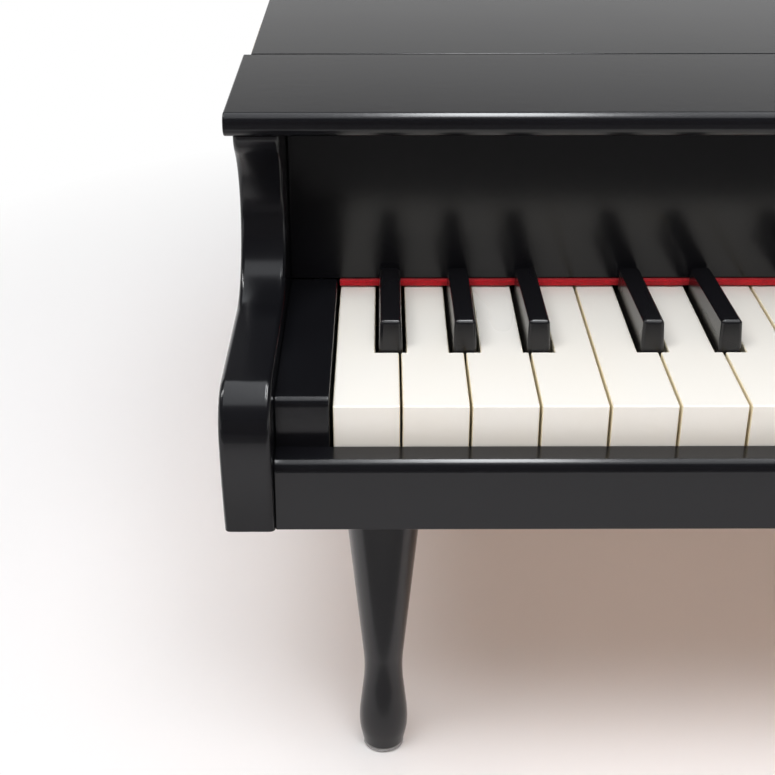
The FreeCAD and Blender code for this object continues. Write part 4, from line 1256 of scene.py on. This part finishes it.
@dataclass
class Studio:
    """Pale floor, soft lamps, a cloth ahead with painted shadow that only gloss shows, and a white
    surround.
    """

    floor_colour: Colour = (0.89, 0.89, 0.905)
    floor_reach: float = 4.0
    white_from: float = 0.26
    white_at: float = 0.55
    cloth_edge: float = -0.222
    room_edge: float = -0.47
    cloth_end: float = -2.6
    cloth_lean: float = 0.2
    cloth_reach: float = 2.8
    cloth_lift: float = 0.0005
    cloth_height: float = 1.6
    cloth_painted_shadow_grades: tuple[Point, ...] = ((0.0, 0.006), (0.03, 0.85), (0.4, 0.72), (0.85, 0.4), (1.0, 0.36))
    low_fill: Colour = (0.68, 0.58, 0.5)
    high_fill: Colour = (0.1, 0.1, 0.1)
    fill_heights: Point = (0.36, 0.58)
    dim_heights: Point = (0.1, 0.34)
    dim: float = 0.05
    lamps: tuple[SoftLamp, ...] = (
        SoftLamp("overhead", (1.3, 1.67), (0.0, 0.17, 1.15), (0.0, 0.17, 0.0), 1.3,
                 (0.96, 0.99, 1.03), in_diffuse=False),
        SoftLamp("overhead fill", (1.3, 1.67), (0.0, 0.17, 1.19), (0.0, 0.17, 0.0), 0.78,
                 (0.96, 0.99, 1.03), in_gloss=False),
        SoftLamp("strip", (0.16, 0.8), (-0.057, 0.09, 1.13), (-0.057, 0.09, 0.0), 18.0,
                 (0.98, 1.0, 1.02), in_diffuse=False),
        SoftLamp("right strip", (0.12, 0.9), (0.43, 0.15, 1.13), (0.43, 0.15, 0.0), 26.0, in_diffuse=False),
        SoftLamp("left strip", (0.12, 0.7), (-0.9, 0.1, 1.0), (-0.4, 0.1, 0.0), 18.0, in_diffuse=False),
        SoftLamp("front fill", (1.4, 0.5), (-0.32, -0.68, 1.15), (-0.15, -0.15, 0.14), 7.2,
                 (1.0, 0.985, 0.98), in_gloss=False),
    )

    def stage_piece(self, name: str, bm: Mesh, wiring: Wiring) -> Piece:
        """Put a mesh on the stage, where it isn't part of the piano.

        Args:
            name: Name of the piece.
            bm: Its mesh, which is used up.
            wiring: Wiring of its material.

        Returns:
            The piece.
        """
        piece = in_mesh(name, bm)
        piece.data.materials.append(wiring.owner)
        return piece

    def floor(self) -> None:
        """Pale floor that keeps the shadow near the piano, fades to white and is clear from below."""
        wiring = Wiring(bpy.data.materials.new("pale floor"))
        paper = wiring.tint(wiring.noise(5, 4), self.floor_colour, (0.3, 0.985), (0.7, 1.0))
        wiring.shade(Base_Color=paper, Roughness=0.75,
                     Normal=wiring.bump(wiring.noise(420, 3), 0.05, 0.0004))
        away = wiring.node("VectorMath", {0: wiring.place}, "LENGTH").outputs["Value"]
        far = wiring.spread(away, self.white_from, self.white_at, 0.0, 1.0)
        share = wiring.reckon("MULTIPLY", far, wiring.seen())
        glow = wiring.node("Emission").outputs["Emission"]
        ground = wiring.mix(share, wiring.shader.outputs["BSDF"], glow)
        below = wiring.node("NewGeometry").outputs["Backfacing"]
        clear = wiring.node("BsdfTransparent").outputs["BSDF"]
        wiring.put(wiring.surface, wiring.mix(below, ground, clear))
        bm = bmesh.new()
        bmesh.ops.create_circle(bm, cap_ends=True, segments=96, radius=self.floor_reach)
        self.stage_piece("floor", bm, wiring)

    def cloth(self) -> None:
        """Cloth ahead of the piano that only gloss shows: a painted shadow of the piano on the floor at
        first, then a dark room.
        """
        wiring = Wiring(bpy.data.materials.new("graded cloth"))
        ahead = wiring.node("SeparateXYZ", {"Vector": wiring.place}).outputs["Y"]
        near = wiring.spread(ahead, self.room_edge, self.cloth_edge, 0.0, 1.0)
        # Greys lighten from the piano's front to the room edge, a painted shadow of the piano on the floor
        # seen only in reflections; past that edge the cloth is a dark room.
        painted_shadow_stops = [(place, (grey, grey, grey * 1.02)) for place, grey in self.cloth_painted_shadow_grades]
        wiring.shade(Base_Color=wiring.blend(wiring.sum(near, wiring.noise(60, 3), 0.01), painted_shadow_stops),
                     Roughness=1.0, Specular_IOR_Level=0.0)
        rows = [(y, self.cloth_lift) for y in (self.cloth_edge, self.room_edge, self.cloth_end)]
        rows.append((self.cloth_end - self.cloth_lean, self.cloth_height))
        bm = bmesh.new()
        verts = [[bm.verts.new((x, y, z)) for x in (-self.cloth_reach, self.cloth_reach)] for y, z in rows]
        for (a, b), (c, d) in zip(verts, verts[1:]):
            bm.faces.new((a, b, d, c))
        piece = self.stage_piece("cloth_with_painted_shadow", bm, wiring)
        piece.visible_camera = False
        piece.visible_diffuse = False
        piece.visible_transmission = False
        piece.visible_shadow = False

    def surround(self) -> None:
        """White for the camera, white to dim with height in gloss, and a plain warm fill elsewhere."""
        world = bpy.data.worlds.new("surround")
        bpy.context.scene.world = world
        wiring = Wiring(world, "Generated")
        height = wiring.node("SeparateXYZ", {"Vector": wiring.place}).outputs["Z"]
        fill = wiring.nodes["Background"]
        stops = list(zip(self.fill_heights, (self.low_fill, self.high_fill)))
        wiring.put(fill.inputs["Color"], wiring.blend(height, stops))
        fade = wiring.spread(height, *self.dim_heights, 1.0, self.dim)
        white = wiring.reckon("MAXIMUM", fade, wiring.node("LightPath").outputs["Is Camera Ray"])
        shown = wiring.node("Background", {"Color": (1.0, 1.0, 1.0, 1.0), "Strength": white})
        plain, white_glow = fill.outputs["Background"], shown.outputs["Background"]
        wiring.put(wiring.surface, wiring.mix(wiring.seen(), plain, white_glow))

    def build(self) -> None:
        """Set up the floor, the cloth, the lamps and the surround."""
        self.floor()
        self.cloth()
        for lamp in self.lamps:
            lamp.hang()
        self.surround()
        bpy.context.scene.view_settings.view_transform = "Standard"


@dataclass
class PhotoCamera:
    """Camera at the photograph's view; lens and sensor in millimetres, tilt in degrees, turn in radians."""

    place: Place = (-0.16653, -0.54627, 0.31806)
    lens: float = 65.03
    sensor: float = 36.0
    tilt: float = 62.85
    turn: float = -0.0037
    clip: Point = (0.01, 50.0)

    def build(self) -> None:
        """Set the camera up."""
        data = bpy.data.cameras.new("photo_camera")
        data.lens = self.lens
        data.sensor_width = self.sensor
        data.clip_start, data.clip_end = self.clip
        camera = in_scene("photo_camera", data)
        camera.location = self.place
        camera.rotation_euler = (math.radians(self.tilt), 0.0, self.turn)
        bpy.context.scene.camera = camera


def main() -> None:
    """Build every sub-assembly in order."""
    logging.basicConfig(level=logging.INFO, format="%(name)s %(message)s")
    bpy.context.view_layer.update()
    for assembly in (CaseWork(), Keyboard(), Felts(), LidWork(), Legs(), Action(), Studio(), PhotoCamera()):
        assembly.build()
        log.info("%s done", type(assembly).__name__)
    bpy.context.view_layer.update()


if __name__ == "__main__":
    main()
